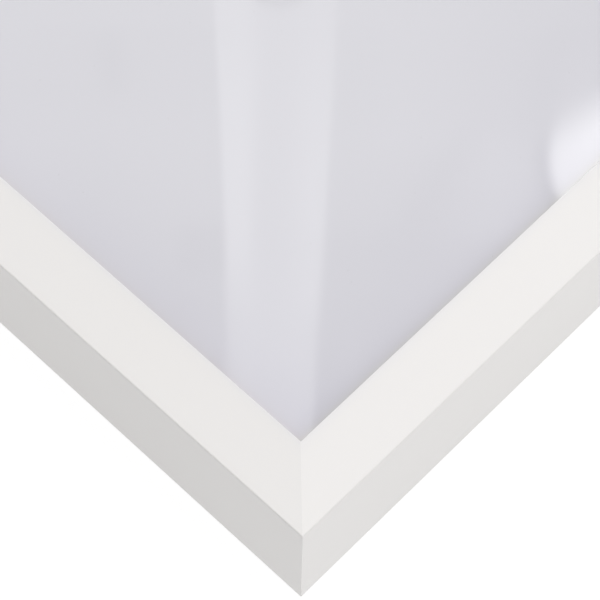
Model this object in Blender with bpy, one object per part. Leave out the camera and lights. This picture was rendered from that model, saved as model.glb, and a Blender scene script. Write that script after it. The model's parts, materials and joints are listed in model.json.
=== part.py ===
"""Light table: a mitred white aluminium box frame holds an opal acrylic viewing panel. Below the panel lies a
reflector tray with LED bars, and a steel back cover carries the electronics and the rubber feet.

Metres, +Z up. The origin is on the table plane, at the middle of the bounding box. +X runs along the long
side and +Y points at the rear wall, which has the power inlet, the rocker switch and the dimmer knob.

Every piece hangs under one empty at the middle of the frame's lower edge, so heights count from that edge.
"""

import math

import bmesh
import bpy

MM = 0.001
TURN = 2 * math.pi
QUARTER = math.pi / 2

# Overall frame
FRAME_X = 460 * MM          # outside length
FRAME_Y = 337 * MM          # outside depth
FRAME_H = 44 * MM           # height of the side wall
HALF_X = FRAME_X / 2
HALF_Y = FRAME_Y / 2
FOOT_DROP = 2.5 * MM        # how far the feet lift the frame off the table
REAR_PROUD = 12 * MM        # how far the dimmer knob stands out of the rear wall
GAP = 0.2 * MM              # clearance left where two pieces rest on each other

# Frame extrusion heights and depths that other pieces refer to
WALL = 2.0 * MM
LIP_UNDER = 42.0 * MM       # underside of the top face
LEDGE_TOP = 35.8 * MM       # ledge that carries the gasket and the panel
LEDGE_UNDER = 34.3 * MM
CHANNEL_FLOOR = 25.8 * MM   # channel for the corner keys
CHANNEL_DEPTH = 12.0 * MM

# Panel
PANEL_T = 4.0 * MM
PANEL_TOP = LIP_UNDER - GAP
PANEL_UNDER = PANEL_TOP - PANEL_T

# Back cover
COVER_T = 1.4 * MM
COVER_UNDER = 1.9 * MM
COVER_TOP = COVER_UNDER + COVER_T

# Screws that hold the cover to the frame: where -> (bar, x, y)
SCREW_INSET = 8.0 * MM
SCREW_X = 190 * MM
SCREW_SIDE_X = HALF_X - SCREW_INSET
SCREW_Y = HALF_Y - SCREW_INSET
SCREW_HOLE_R = 1.7 * MM
SCREWS = {
    "front_left": ("frame_front", -SCREW_X, -SCREW_Y),
    "front_middle": ("frame_front", 0, -SCREW_Y),
    "front_right": ("frame_front", SCREW_X, -SCREW_Y),
    "rear_left": ("frame_rear", -SCREW_X, SCREW_Y),
    "rear_middle": ("frame_rear", 0, SCREW_Y),
    "rear_right": ("frame_rear", SCREW_X, SCREW_Y),
    "left_middle": ("frame_left", -SCREW_SIDE_X, 0),
    "right_middle": ("frame_right", SCREW_SIDE_X, 0),
}

# Reflector tray
TRAY_T = 0.8 * MM
TRAY_FLOOR_UNDER = 19.2 * MM
TRAY_FLOOR_TOP = TRAY_FLOOR_UNDER + TRAY_T
GROMMET_AT = (40 * MM, 84 * MM)

# Light bars
BAR_T = 1.2 * MM
BAR_PITCH = 56 * MM
BARS = 5
BAR_LOW = TRAY_FLOOR_TOP + GAP
BAR_TOP = BAR_LOW + BAR_T
BAR_PLUG_X = 186 * MM
BAR_PLUG_HALF = 4 * MM      # half the side of the square plug
BAR_PLUG_TOP = BAR_TOP + 3.4 * MM

# Controls: each is set out from the outside face of the rear wall
REAR = HALF_Y
CONTROL_Z = 15 * MM
INLET_X = 78 * MM
SWITCH_X = 112 * MM
DIMMER_X = 150 * MM
INLET_AT = (INLET_X, REAR, CONTROL_Z)
SWITCH_AT = (SWITCH_X, REAR, CONTROL_Z)
DIMMER_AT = (DIMMER_X, REAR, CONTROL_Z)
INLET_TAG_X = 1.8 * MM      # offset of the two tags to each side
INLET_TAG_END = 16.5 * MM   # how far the tags reach in from the rear face
SWITCH_TAG_X = 5.5 * MM
SWITCH_TAG_END = 21.0 * MM
POT_TAG_X = 4 * MM
POT_TAG_DROP = 2.3 * MM     # how far the tags lie below the axis
POT_TAG_END = 14.0 * MM

# Driver board
BOARD_X, BOARD_Y = 100 * MM, 108 * MM
BOARD_UNDER = 7.6 * MM
BOARD_TOP = BOARD_UNDER + 1.6 * MM
SUPPORT_X, SUPPORT_Y = 38 * MM, 19 * MM
BOARD_PLUG_HALF_Y = 3 * MM
BOARD_PLUGS = {             # plug -> (x, y) from the middle of the board
    "inlet": (-22 * MM, 18 * MM),
    "switch": (6 * MM, 18 * MM),
    "dimmer": (26 * MM, 17 * MM),
    "leds": (-24 * MM, -17 * MM),
}

# Corner -> signs of x and y
CORNERS = {
    "front_left": (-1, -1),
    "front_right": (1, -1),
    "rear_left": (-1, 1),
    "rear_right": (1, 1),
}

# Rotations that lay +Z along the Y axis
INWARD = (QUARTER, 0, 0)    # +Z then points at -Y, into the frame from the rear wall
OUTWARD = (-QUARTER, 0, 0)  # +Z then points at +Y, out of the rear wall, and +Y points down


# ---------------------------------------------------------------- scene and materials

for stale in list(bpy.data.objects):
    bpy.data.objects.remove(stale, do_unlink=True)

CENTRE = bpy.data.objects.new("light_table", None)
CENTRE.location = (0, -REAR_PROUD / 2, FOOT_DROP)
bpy.context.scene.collection.objects.link(CENTRE)


def paint(name, colour, roughness, metallic=0.0):
    material = bpy.data.materials.new(name)
    material.use_nodes = True
    shader = material.node_tree.nodes["Principled BSDF"]
    shader.inputs["Base Color"].default_value = (*colour, 1.0)
    shader.inputs["Roughness"].default_value = roughness
    shader.inputs["Metallic"].default_value = metallic
    material.diffuse_color = (*colour, 1.0)
    return material


WHITE_COAT = paint("white_powder_coat", colour=(0.87, 0.86, 0.84), roughness=0.45)
OPAL = paint("opal_acrylic", colour=(0.72, 0.71, 0.75), roughness=0.04)
FOAM = paint("closed_cell_foam", colour=(0.10, 0.10, 0.10), roughness=0.95)
COVER_COAT = paint("cover_coat", colour=(0.80, 0.80, 0.79), roughness=0.5)
REFLECTOR = paint("reflector_white", colour=(0.93, 0.93, 0.92), roughness=0.6)
ZINC = paint("zinc_screw", colour=(0.62, 0.63, 0.65), roughness=0.3, metallic=1.0)
DIE_CAST = paint("die_cast_aluminium", colour=(0.66, 0.66, 0.67), roughness=0.45, metallic=1.0)
RUBBER = paint("foot_rubber", colour=(0.06, 0.06, 0.06), roughness=0.8)
BOARD_WHITE = paint("led_board", colour=(0.88, 0.88, 0.86), roughness=0.5)
BOARD_GREEN = paint("driver_board_mask", colour=(0.03, 0.22, 0.10), roughness=0.4)
NYLON = paint("natural_nylon", colour=(0.85, 0.84, 0.78), roughness=0.5)
BLACK_SHELL = paint("black_moulding", colour=(0.03, 0.03, 0.032), roughness=0.4)
NICKEL = paint("nickel_plate", colour=(0.75, 0.73, 0.70), roughness=0.2, metallic=1.0)
WIRE_RED = paint("wire_red", colour=(0.55, 0.03, 0.03), roughness=0.5)
WIRE_BLACK = paint("wire_black", colour=(0.03, 0.03, 0.03), roughness=0.5)
WIRE_GREY = paint("wire_grey", colour=(0.45, 0.45, 0.46), roughness=0.5)
WIRE_WHITE = paint("wire_white", colour=(0.82, 0.82, 0.80), roughness=0.5)


# ---------------------------------------------------------------- outlines


def circle(radius, sides):
    return [
        (radius * math.cos(TURN * i / sides), radius * math.sin(TURN * i / sides))
        for i in range(sides)
    ]


def hexagon(across_flats):
    return circle(across_flats / math.sqrt(3), 6)


def arc(centre_x, centre_y, radius, start, stop, steps):
    """Points from the start angle to the stop angle, in degrees."""
    angles = [math.radians(start + (stop - start) * i / steps) for i in range(steps + 1)]
    return [(centre_x + radius * math.cos(a), centre_y + radius * math.sin(a)) for a in angles]


def rectangle(half_x, half_y):
    return [(-half_x, -half_y), (half_x, -half_y), (half_x, half_y), (-half_x, half_y)]


def rounded(width, depth, radius, steps=4):
    x, y = width / 2 - radius, depth / 2 - radius
    return (
        arc(x, y, radius, 0, 90, steps)
        + arc(-x, y, radius, 90, 180, steps)
        + arc(-x, -y, radius, 180, 270, steps)
        + arc(x, -y, radius, 270, 360, steps)
    )


# ---------------------------------------------------------------- meshes


def finish(name, bm, smooth=None):
    """Turns the bmesh into a mesh, shaded smooth below the angle in degrees if one is given."""
    bmesh.ops.recalc_face_normals(bm, faces=bm.faces)
    mesh = bpy.data.meshes.new(name)
    bm.to_mesh(mesh)
    bm.free()
    if smooth:
        mesh.shade_smooth()
        mesh.set_sharp_from_angle(angle=math.radians(smooth))
    return mesh


def level(bm, outline, height):
    """The outline's vertices at a height."""
    return [bm.verts.new((x, y, height)) for x, y in outline]


def bridge(bm, first, second):
    """A band of quads between two closed loops of equal count."""
    for i in range(len(first)):
        j = (i + 1) % len(first)
        bm.faces.new((first[i], first[j], second[j], second[i]))


def stack(bm, loops):
    """Bridges the loops in turn and closes the first and the last with a face."""
    for first, second in zip(loops, loops[1:]):
        bridge(bm, first, second)
    bm.faces.new(loops[0])
    bm.faces.new(loops[-1])


def prism(name, outline, low, high):
    """A 2D outline in XY, extruded from low to high along Z."""
    bm = bmesh.new()
    face = bm.faces.new(level(bm, outline, low))
    extruded = bmesh.ops.extrude_face_region(bm, geom=[face])["geom"]
    top = [item for item in extruded if isinstance(item, bmesh.types.BMVert)]
    bmesh.ops.translate(bm, vec=(0, 0, high - low), verts=top)
    return finish(name, bm)


def block(name, low, high):
    """A box between two opposite corners."""
    outline = [(low[0], low[1]), (high[0], low[1]), (high[0], high[1]), (low[0], high[1])]
    return prism(name, outline, low[2], high[2])


def turned(name, profile, sides, smooth=40):
    """A solid of revolution about Z from (radius, height) pairs. A radius of 0 is a point on the axis, and a
    profile with no such point at either end is closed into a ring."""
    bm = bmesh.new()
    rings = []
    for radius, height in profile:
        outline = circle(radius, sides) if radius else [(0, 0)]
        rings.append(level(bm, outline, height))
    pairs = list(zip(rings, rings[1:]))
    if len(rings[0]) > 1 and len(rings[-1]) > 1:
        pairs.append((rings[-1], rings[0]))
    for first, second in pairs:
        if len(first) > 1 and len(second) > 1:
            bridge(bm, first, second)
            continue
        for i in range(sides):
            j = (i + 1) % sides
            if len(first) == 1:
                bm.faces.new((first[0], second[j], second[i]))
            else:
                bm.faces.new((first[i], first[j], second[0]))
    return finish(name, bm, smooth)


# ---------------------------------------------------------------- objects


def place(name, data, material=None, at=(0, 0, 0), turn=(0, 0, 0)):
    """Links an object under the empty, and gives its data the material if it has none."""
    made = bpy.data.objects.new(name, data)
    bpy.context.scene.collection.objects.link(made)
    made.parent = CENTRE
    made.location = at
    made.rotation_euler = turn
    if material and not data.materials:
        data.materials.append(material)
    return made


def place_at_corners(name, data, material, x, y, middle=(0, 0)):
    """Four copies, x and y away from the middle."""
    for corner, (sign_x, sign_y) in CORNERS.items():
        at = (middle[0] + sign_x * x, middle[1] + sign_y * y, 0)
        place(f"{name}_{corner}", data, material, at=at)


def boolean(target, data, at, turn, operation, suffix):
    helper = place(target.name + suffix, data, at=at, turn=turn)
    helper.hide_render = True
    helper.display_type = "WIRE"
    modifier = target.modifiers.new(operation.lower() + "_" + helper.name, "BOOLEAN")
    modifier.operation = operation
    modifier.solver = "EXACT"
    modifier.object = helper


def cut(target, data, at=(0, 0, 0), turn=(0, 0, 0)):
    boolean(target, data, at, turn, "DIFFERENCE", "_cut")


def fuse(target, data, at=(0, 0, 0), turn=(0, 0, 0)):
    boolean(target, data, at, turn, "UNION", "_add")


def baked(made):
    """Replaces the object by its evaluated mesh, which copies can then share."""
    bpy.context.view_layer.update()
    evaluated = made.evaluated_get(bpy.context.evaluated_depsgraph_get())
    mesh = bpy.data.meshes.new_from_object(evaluated)
    bpy.data.objects.remove(made)
    return mesh


# ---------------------------------------------------------------- frame

FACE = 20 * MM              # width of the mitred top face
MITRE_GAP = 0.03 * MM       # each bar end stops this short of the 45 degree plane
EDGE_R = 0.5 * MM           # rounding of the two outer edges
FACE_EDGE_R = 0.4 * MM      # rounding of the top face's inner edge
CHANNEL_UNDER = 24.3 * MM
CHANNEL_REACH = 13.5 * MM
CHANNEL_LIP = 2.0 * MM
FLANGE_TOP = 5.6 * MM       # flange that the back cover is screwed to
FLANGE_UNDER = 3.6 * MM
FLANGE_REACH = 14.0 * MM

# (distance in from the outside face, height), clockwise from the outer lower edge
FRAME_PROFILE = [
    *arc(EDGE_R, EDGE_R, EDGE_R, 270, 180, 3),
    *arc(EDGE_R, FRAME_H - EDGE_R, EDGE_R, 180, 90, 3),
    *arc(FACE - FACE_EDGE_R, FRAME_H - FACE_EDGE_R, FACE_EDGE_R, 90, 0, 3),
    # Top face and ledge
    (FACE, LIP_UNDER),
    (WALL, LIP_UNDER),
    (WALL, LEDGE_TOP),
    (CHANNEL_REACH, LEDGE_TOP),
    # Channel
    (CHANNEL_REACH, LEDGE_UNDER - CHANNEL_LIP),
    (CHANNEL_DEPTH, LEDGE_UNDER - CHANNEL_LIP),
    (CHANNEL_DEPTH, LEDGE_UNDER),
    (WALL, LEDGE_UNDER),
    (WALL, CHANNEL_FLOOR),
    (CHANNEL_DEPTH, CHANNEL_FLOOR),
    (CHANNEL_DEPTH, CHANNEL_FLOOR + CHANNEL_LIP),
    (CHANNEL_REACH, CHANNEL_FLOOR + CHANNEL_LIP),
    (CHANNEL_REACH, CHANNEL_UNDER),
    (WALL, CHANNEL_UNDER),
    # Flange
    (WALL, FLANGE_TOP),
    (FLANGE_REACH, FLANGE_TOP),
    (FLANGE_REACH, FLANGE_UNDER),
    (WALL, FLANGE_UNDER),
    (WALL, 0),
]

# Openings in the rear wall
INLET_HOLE_R = 4.1 * MM
DIMMER_HOLE_R = 4.65 * MM
SWITCH_HOLE = (19.2 * MM, 13.0 * MM)
SWITCH_HOLE_R = 0.6 * MM
OPENING_CUT = 4 * MM        # depth of the cutters
OPENING_OVERRUN = 1 * MM    # how far the cutters start outside the wall

SCREW_HOLE = prism("screw_hole", circle(SCREW_HOLE_R, 12), 0, 8 * MM)


def mitred_bar(name, length, at, turn):
    """One extruded bar along X, its outside face at y 0 and its ends cut at 45 degrees."""
    bm = bmesh.new()
    ends = []
    for side in (-1, 1):
        points = [
            (side * (length / 2 - MITRE_GAP - inward), inward, height)
            for inward, height in FRAME_PROFILE
        ]
        ends.append([bm.verts.new(point) for point in points])
    stack(bm, ends)
    return place(name, finish(name, bm, 30), WHITE_COAT, at=at, turn=(0, 0, turn))


def add_frame():
    bars = {
        "frame_front": mitred_bar("frame_front", FRAME_X, (0, -HALF_Y, 0), 0),
        "frame_rear": mitred_bar("frame_rear", FRAME_X, (0, HALF_Y, 0), math.pi),
        "frame_left": mitred_bar("frame_left", FRAME_Y, (-HALF_X, 0, 0), -QUARTER),
        "frame_right": mitred_bar("frame_right", FRAME_Y, (HALF_X, 0, 0), QUARTER),
    }
    for bar, x, y in SCREWS.values():
        cut(bars[bar], SCREW_HOLE, at=(x, y, 1 * MM))
    for name, outline, x in (
        ("inlet_hole", circle(INLET_HOLE_R, 24), INLET_X),
        ("dimmer_hole", circle(DIMMER_HOLE_R, 24), DIMMER_X),
        ("switch_hole", rounded(*SWITCH_HOLE, SWITCH_HOLE_R, 2), SWITCH_X),
    ):
        cut(
            bars["frame_rear"],
            prism(name, outline, 0, OPENING_CUT),
            at=(x, REAR + OPENING_OVERRUN, CONTROL_Z),
            turn=INWARD,
        )


# Corner keys
KEY_PLAY = 0.3 * MM         # clearance to the channel on every side
KEY_NEAR = WALL + KEY_PLAY
KEY_FAR = CHANNEL_DEPTH - KEY_PLAY
KEY_REACH = 48 * MM
KEY_BEVEL = 1.0 * MM
NOTCH_DEPTH = 0.8 * MM
NOTCH_HALF = 1.5 * MM
NOTCHES = (34.5 * MM, 22.5 * MM)    # places of the notches along each leg
KEY_TURNS = {
    "front_left": 0,
    "front_right": QUARTER,
    "rear_right": math.pi,
    "rear_left": -QUARTER,
}


def add_corner_keys():
    """L-shaped keys slide into the channels of two bars and are crimped there, at the notches."""
    leg = [
        (KEY_REACH - KEY_BEVEL, KEY_NEAR),
        (KEY_REACH, KEY_NEAR + KEY_BEVEL),
        (KEY_REACH, KEY_FAR - KEY_BEVEL),
        (KEY_REACH - KEY_BEVEL, KEY_FAR),
    ]
    for notch in NOTCHES:
        leg += [
            (notch + NOTCH_HALF, KEY_FAR),
            (notch, KEY_FAR - NOTCH_DEPTH),
            (notch - NOTCH_HALF, KEY_FAR),
        ]
    other_leg = [(y, x) for x, y in reversed(leg)]
    outline = [(KEY_NEAR, KEY_NEAR), *leg, (KEY_FAR, KEY_FAR), *other_leg]
    mesh = prism("corner_key", outline, CHANNEL_FLOOR + KEY_PLAY, LEDGE_UNDER - KEY_PLAY)
    for corner, turn in KEY_TURNS.items():
        sign_x, sign_y = CORNERS[corner]
        at = (sign_x * HALF_X, sign_y * HALF_Y, 0)
        place("corner_key_" + corner, mesh, DIE_CAST, at=at, turn=(0, 0, turn))


# ---------------------------------------------------------------- panel and gasket

PANEL_INSET = 3.0 * MM      # from the outside face, leaving an expansion gap to the wall
GASKET_OUT = 4.0 * MM       # insets of the gasket's edges from the outside face
GASKET_IN = 12.0 * MM
GASKET_T = 1.6 * MM


def add_panel():
    x, y = HALF_X - PANEL_INSET, HALF_Y - PANEL_INSET
    mesh = block("diffuser_panel", (-x, -y, PANEL_UNDER), (x, y, PANEL_TOP))
    panel = place("diffuser_panel", mesh, OPAL)
    arris = panel.modifiers.new("arris", "BEVEL")
    arris.width = 0.4 * MM
    arris.segments = 1
    arris.limit_method = "ANGLE"


def add_gasket():
    low = LEDGE_TOP + GAP
    high = low + GASKET_T
    bm = bmesh.new()
    loops = [
        level(bm, rectangle(HALF_X - inset, HALF_Y - inset), height)
        for inset, height in (
            (GASKET_OUT, low), (GASKET_OUT, high), (GASKET_IN, high), (GASKET_IN, low),
        )
    ]
    for first, second in zip(loops, loops[1:] + loops[:1]):
        bridge(bm, first, second)
    place("panel_gasket", finish("panel_gasket", bm), FOAM)


# ---------------------------------------------------------------- back cover, screws and feet

COVER_INSET = 2.4 * MM
COVER_CORNER_R = 1.5 * MM

# Two rows of vent slots, which run along Y
VENT_LENGTH = 26 * MM
VENT_WIDTH = 2.6 * MM
VENT_END_R = VENT_WIDTH / 2 - 0.01 * MM     # just under half the width, so that no points coincide
VENT_PITCH = 8.0 * MM
VENTS = 7
VENT_X = 118 * MM           # middle of each row
VENT_Y = -62 * MM

# Screws
SCREW_R = 1.4 * MM
HEAD_R = 2.8 * MM
HEAD_H = 1.6 * MM
SCREW_SEAT = COVER_UNDER - 0.1 * MM
RECESS_HALF = (1.5 * MM, 0.35 * MM)     # half sizes of one slot of the cross
RECESS_DEPTH = 0.9 * MM

# Feet
FOOT_R = 8.0 * MM
FOOT_INSET = 28 * MM


def add_back_cover():
    outline = rounded(
        FRAME_X - 2 * COVER_INSET, FRAME_Y - 2 * COVER_INSET, COVER_CORNER_R, 3
    )
    cover = place("back_cover", prism("back_cover", outline, COVER_UNDER, COVER_TOP), COVER_COAT)
    for _, x, y in SCREWS.values():
        cut(cover, SCREW_HOLE, at=(x, y, -2 * MM))
    slot = prism("vent_slot", rounded(VENT_WIDTH, VENT_LENGTH, VENT_END_R, 4), 0, 4 * MM)
    for side in (-1, 1):
        for i in range(VENTS):
            x = side * VENT_X + (i - (VENTS - 1) / 2) * VENT_PITCH
            cut(cover, slot, at=(x, VENT_Y, 0.5 * MM))


def screw_mesh():
    """Pan-head thread-forming screw, head down, with a cross recess. Its seat is at z 0."""
    profile = [
        (0, -HEAD_H),
        (1.5 * MM, -HEAD_H),
        (2.4 * MM, -HEAD_H + 0.35 * MM),
        (HEAD_R, -HEAD_H + 1.0 * MM),
        (HEAD_R, 0),
        (SCREW_R, 0),
        (SCREW_R, 5.2 * MM),
        (0.5 * MM, 6.4 * MM),
        (0, 6.4 * MM),
    ]
    screw = place("screw", turned("cover_screw", profile, 12, 35), ZINC)
    x, y = RECESS_HALF
    for angle in (0, QUARTER):
        recess = block("recess", (-x, -y, -HEAD_H - 1 * MM), (x, y, -HEAD_H + RECESS_DEPTH))
        cut(screw, recess, turn=(0, 0, angle))
    return baked(screw)


def add_screws():
    mesh = screw_mesh()
    for where, (_, x, y) in SCREWS.items():
        place("cover_screw_" + where, mesh, ZINC, at=(x, y, SCREW_SEAT))


def add_feet():
    profile = [
        (0, COVER_UNDER - GAP),
        (FOOT_R, COVER_UNDER - GAP),
        (FOOT_R, -FOOT_DROP + 1.2 * MM),
        (FOOT_R - 0.4 * MM, -FOOT_DROP + 0.4 * MM),
        (FOOT_R - 1.2 * MM, -FOOT_DROP),
        (0, -FOOT_DROP),
    ]
    mesh = turned("rubber_foot", profile, 24)
    place_at_corners("foot", mesh, RUBBER, HALF_X - FOOT_INSET, HALF_Y - FOOT_INSET)


# ---------------------------------------------------------------- reflector tray

TRAY_RIM_INSET = 14.6 * MM
TRAY_RIM = 37.2 * MM        # height of the rim
TRAY_SLOPE = 16 * MM        # how far the walls lean out from the floor to the rim
GROMMET_HOLE_R = 4.5 * MM
SPACER_X = 150 * MM
SPACER_Y = 90 * MM
SPACER_AF = 6.0 * MM        # across flats


def tray_loop(bm, height, inward):
    """The tray's rectangle at a height, set in from its outside."""
    lean = TRAY_SLOPE * (TRAY_RIM - height) / (TRAY_RIM - TRAY_FLOOR_UNDER)
    half_x = HALF_X - TRAY_RIM_INSET - lean - inward
    half_y = HALF_Y - TRAY_RIM_INSET - lean - inward
    return level(bm, rectangle(half_x, half_y), height)


def add_tray():
    rise = TRAY_RIM - TRAY_FLOOR_UNDER
    wall_across = TRAY_T * (math.hypot(TRAY_SLOPE, rise) / rise)    # sheet measured level
    bm = bmesh.new()
    stack(
        bm,
        [
            tray_loop(bm, TRAY_FLOOR_UNDER, 0),
            tray_loop(bm, TRAY_RIM, 0),
            tray_loop(bm, TRAY_RIM, wall_across),
            tray_loop(bm, TRAY_FLOOR_TOP, wall_across),
        ],
    )
    tray = place("reflector_tray", finish("reflector_tray", bm), REFLECTOR)
    cut(
        tray,
        prism("grommet_hole", circle(GROMMET_HOLE_R, 16), 0, 4 * MM),
        at=(*GROMMET_AT, TRAY_FLOOR_UNDER - 1.5 * MM),
    )


def add_grommet():
    """A grooved ring in the tray floor. Its profile is measured from the floor's underside."""
    profile = [
        (2.5 * MM, -2.0 * MM),
        (5.6 * MM, -2.0 * MM),
        (6.0 * MM, -1.4 * MM),
        (6.0 * MM, -GAP),
        (4.3 * MM, -GAP),
        (4.3 * MM, TRAY_T + GAP),
        (6.0 * MM, TRAY_T + GAP),
        (6.0 * MM, TRAY_T + 1.2 * MM),
        (5.6 * MM, TRAY_T + 1.8 * MM),
        (2.5 * MM, TRAY_T + 1.8 * MM),
    ]
    mesh = turned("tray_grommet", profile, 16)
    place("tray_grommet", mesh, RUBBER, at=(*GROMMET_AT, TRAY_FLOOR_UNDER))


def add_spacers():
    """Hexagonal spacers carry the tray on the back cover."""
    mesh = prism("tray_spacer", hexagon(SPACER_AF), COVER_TOP + GAP, TRAY_FLOOR_UNDER - GAP)
    place_at_corners("tray_spacer", mesh, ZINC, SPACER_X, SPACER_Y)


# ---------------------------------------------------------------- light bars and panel posts

BAR_LENGTH = 388 * MM
BAR_WIDTH = 12 * MM
BAR_SINK = 0.3 * MM         # how far lenses and plugs sink into the bar
LENS_PITCH = 52 * MM
LENSES = 7
LENS_R = 6.5 * MM
LENS_NECK_R = LENS_R - 0.7 * MM
LENS_H = 4.6 * MM
POST_X, POST_Y = 78 * MM, 28 * MM


def bar_y(i):
    """Y of a light bar, counted from the front."""
    return (i - (BARS - 1) / 2) * BAR_PITCH


def light_bar_mesh():
    """An aluminium-core board with a row of moulded lenses over its LEDs, and a plug at its right end."""
    x, y = BAR_LENGTH / 2, BAR_WIDTH / 2
    bar = place("led_bar", block("led_bar", (-x, -y, BAR_LOW), (x, y, BAR_TOP)), BOARD_WHITE)
    lens_profile = [
        (0, BAR_TOP - BAR_SINK),
        (LENS_NECK_R, BAR_TOP - BAR_SINK),
        (LENS_NECK_R, BAR_TOP + 0.9 * MM),
        (LENS_R, BAR_TOP + 1.4 * MM),
        (LENS_R * 0.82, BAR_TOP + LENS_H * 0.75),
        (LENS_R * 0.4, BAR_TOP + LENS_H),
        (0, BAR_TOP + LENS_H * 0.86),
    ]
    lens = turned("led_lens", lens_profile, 10)
    for i in range(LENSES):
        fuse(bar, lens, at=((i - (LENSES - 1) / 2) * LENS_PITCH, 0, 0))
    half = BAR_PLUG_HALF
    plug = block("bar_plug", (-half, -half, BAR_TOP - BAR_SINK), (half, half, BAR_PLUG_TOP))
    fuse(bar, plug, at=(BAR_PLUG_X, 0, 0))
    return baked(bar)


def add_light_bars():
    mesh = light_bar_mesh()
    for i in range(BARS):
        place(f"led_bar_{i + 1}", mesh, BOARD_WHITE, at=(0, bar_y(i), 0))


def add_panel_posts():
    """Translucent cones keep the middle of the panel from sagging."""
    low, high = TRAY_FLOOR_TOP + GAP, PANEL_UNDER - GAP
    profile = [
        (0, low),
        (6.5 * MM, low),
        (6.5 * MM, low + 1.0 * MM),
        (4.2 * MM, low + 1.6 * MM),
        (1.6 * MM, high - 0.6 * MM),
        (0.9 * MM, high),
        (0, high),
    ]
    mesh = turned("panel_post", profile, 16)
    place("panel_post_left", mesh, NYLON, at=(-POST_X, POST_Y, 0))
    place("panel_post_right", mesh, NYLON, at=(POST_X, -POST_Y, 0))


# ---------------------------------------------------------------- driver board

BOARD_SIZE = (84 * MM, 46 * MM)
BOARD_CORNER_R = 1.5 * MM
SUPPORT_HOLE_R = 1.8 * MM
PART_LOW = BOARD_TOP - 0.4 * MM     # parts sink this deep into the board


def can(name, radius, height, bevel):
    """A capacitor: a cylinder with a bevelled top edge."""
    top = BOARD_TOP + height
    profile = [
        (0, PART_LOW),
        (radius, PART_LOW),
        (radius, top - bevel),
        (radius - bevel, top),
        (0, top),
    ]
    return turned(name, profile, 16)


def box_part(name, half_x, half_y, height):
    return block(name, (-half_x, -half_y, PART_LOW), (half_x, half_y, BOARD_TOP + height))


def add_driver_board():
    outline = rounded(*BOARD_SIZE, BOARD_CORNER_R, 2)
    mesh = prism("driver_board", outline, BOARD_UNDER, BOARD_TOP)
    board = place("driver_board", mesh, BOARD_GREEN, at=(BOARD_X, BOARD_Y, 0))
    hole = prism("support_hole", circle(SUPPORT_HOLE_R, 12), 0, 4 * MM)
    for sign_x, sign_y in CORNERS.values():
        x, y = BOARD_X + sign_x * SUPPORT_X, BOARD_Y + sign_y * SUPPORT_Y
        cut(board, hole, at=(x, y, BOARD_UNDER - 1 * MM))

    inductor_outline = rounded(12 * MM, 12 * MM, 2.5 * MM, 2)
    inductor = prism("inductor", inductor_outline, PART_LOW, BOARD_TOP + 6.5 * MM)
    # (mesh, x and y from the middle of the board)
    parts = [
        (inductor, -14 * MM, 2 * MM),
        (can("capacitor", 4 * MM, 7.7 * MM, 0.5 * MM), -28 * MM, -4 * MM),
        (can("capacitor_2", 3.2 * MM, 6.8 * MM, 0.4 * MM), 8 * MM, -12 * MM),
        (box_part("controller", 3 * MM, 2.5 * MM, 1.6 * MM), 5 * MM, 4 * MM),
        (box_part("transistor", 3.3 * MM, 3 * MM, 2.3 * MM), 20 * MM, 4 * MM),
    ]
    for use, (x, y) in BOARD_PLUGS.items():
        parts.append((box_part("plug_" + use, 5 * MM, BOARD_PLUG_HALF_Y, 6 * MM), x, y))
    for part, x, y in parts:
        fuse(board, part, at=(BOARD_X + x, BOARD_Y + y, 0))


def add_board_supports():
    """Nylon posts stick to the cover and snap through the board's holes."""
    profile = [
        (0, COVER_TOP + GAP),
        (4.0 * MM, COVER_TOP + GAP),
        (4.0 * MM, COVER_TOP + 1.0 * MM),
        (2.6 * MM, COVER_TOP + 1.6 * MM),
        (2.6 * MM, BOARD_UNDER - GAP),
        (1.5 * MM, BOARD_UNDER - GAP),
        (1.5 * MM, BOARD_TOP + GAP),
        (2.1 * MM, BOARD_TOP + GAP + 0.1 * MM),
        (0.8 * MM, BOARD_TOP + 2.2 * MM),
        (0, BOARD_TOP + 2.2 * MM),
    ]
    mesh = turned("board_support", profile, 12)
    place_at_corners(
        "board_support", mesh, NYLON, SUPPORT_X, SUPPORT_Y, middle=(BOARD_X, BOARD_Y)
    )


# ---------------------------------------------------------------- controls on the rear wall
# Profiles and cutters here are set out along +Z, with the wall's outside face at 0.


def hex_nut(name, across_flats, bore_radius, low, high, at):
    nut = place(name, prism(name, hexagon(across_flats), low, high), NICKEL, at=at, turn=OUTWARD)
    bore = prism(name + "_bore", circle(bore_radius, 24), low - 1 * MM, high + 1 * MM)
    cut(nut, bore, at=at, turn=OUTWARD)


def fuse_tags(shell, name, shell_x, offsets, low, high):
    """Solder tags behind a control, at offsets along X."""
    for offset in offsets:
        at = (shell_x + offset, REAR, CONTROL_Z)
        fuse(shell, block(name, low, high), at=at, turn=OUTWARD)


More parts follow.
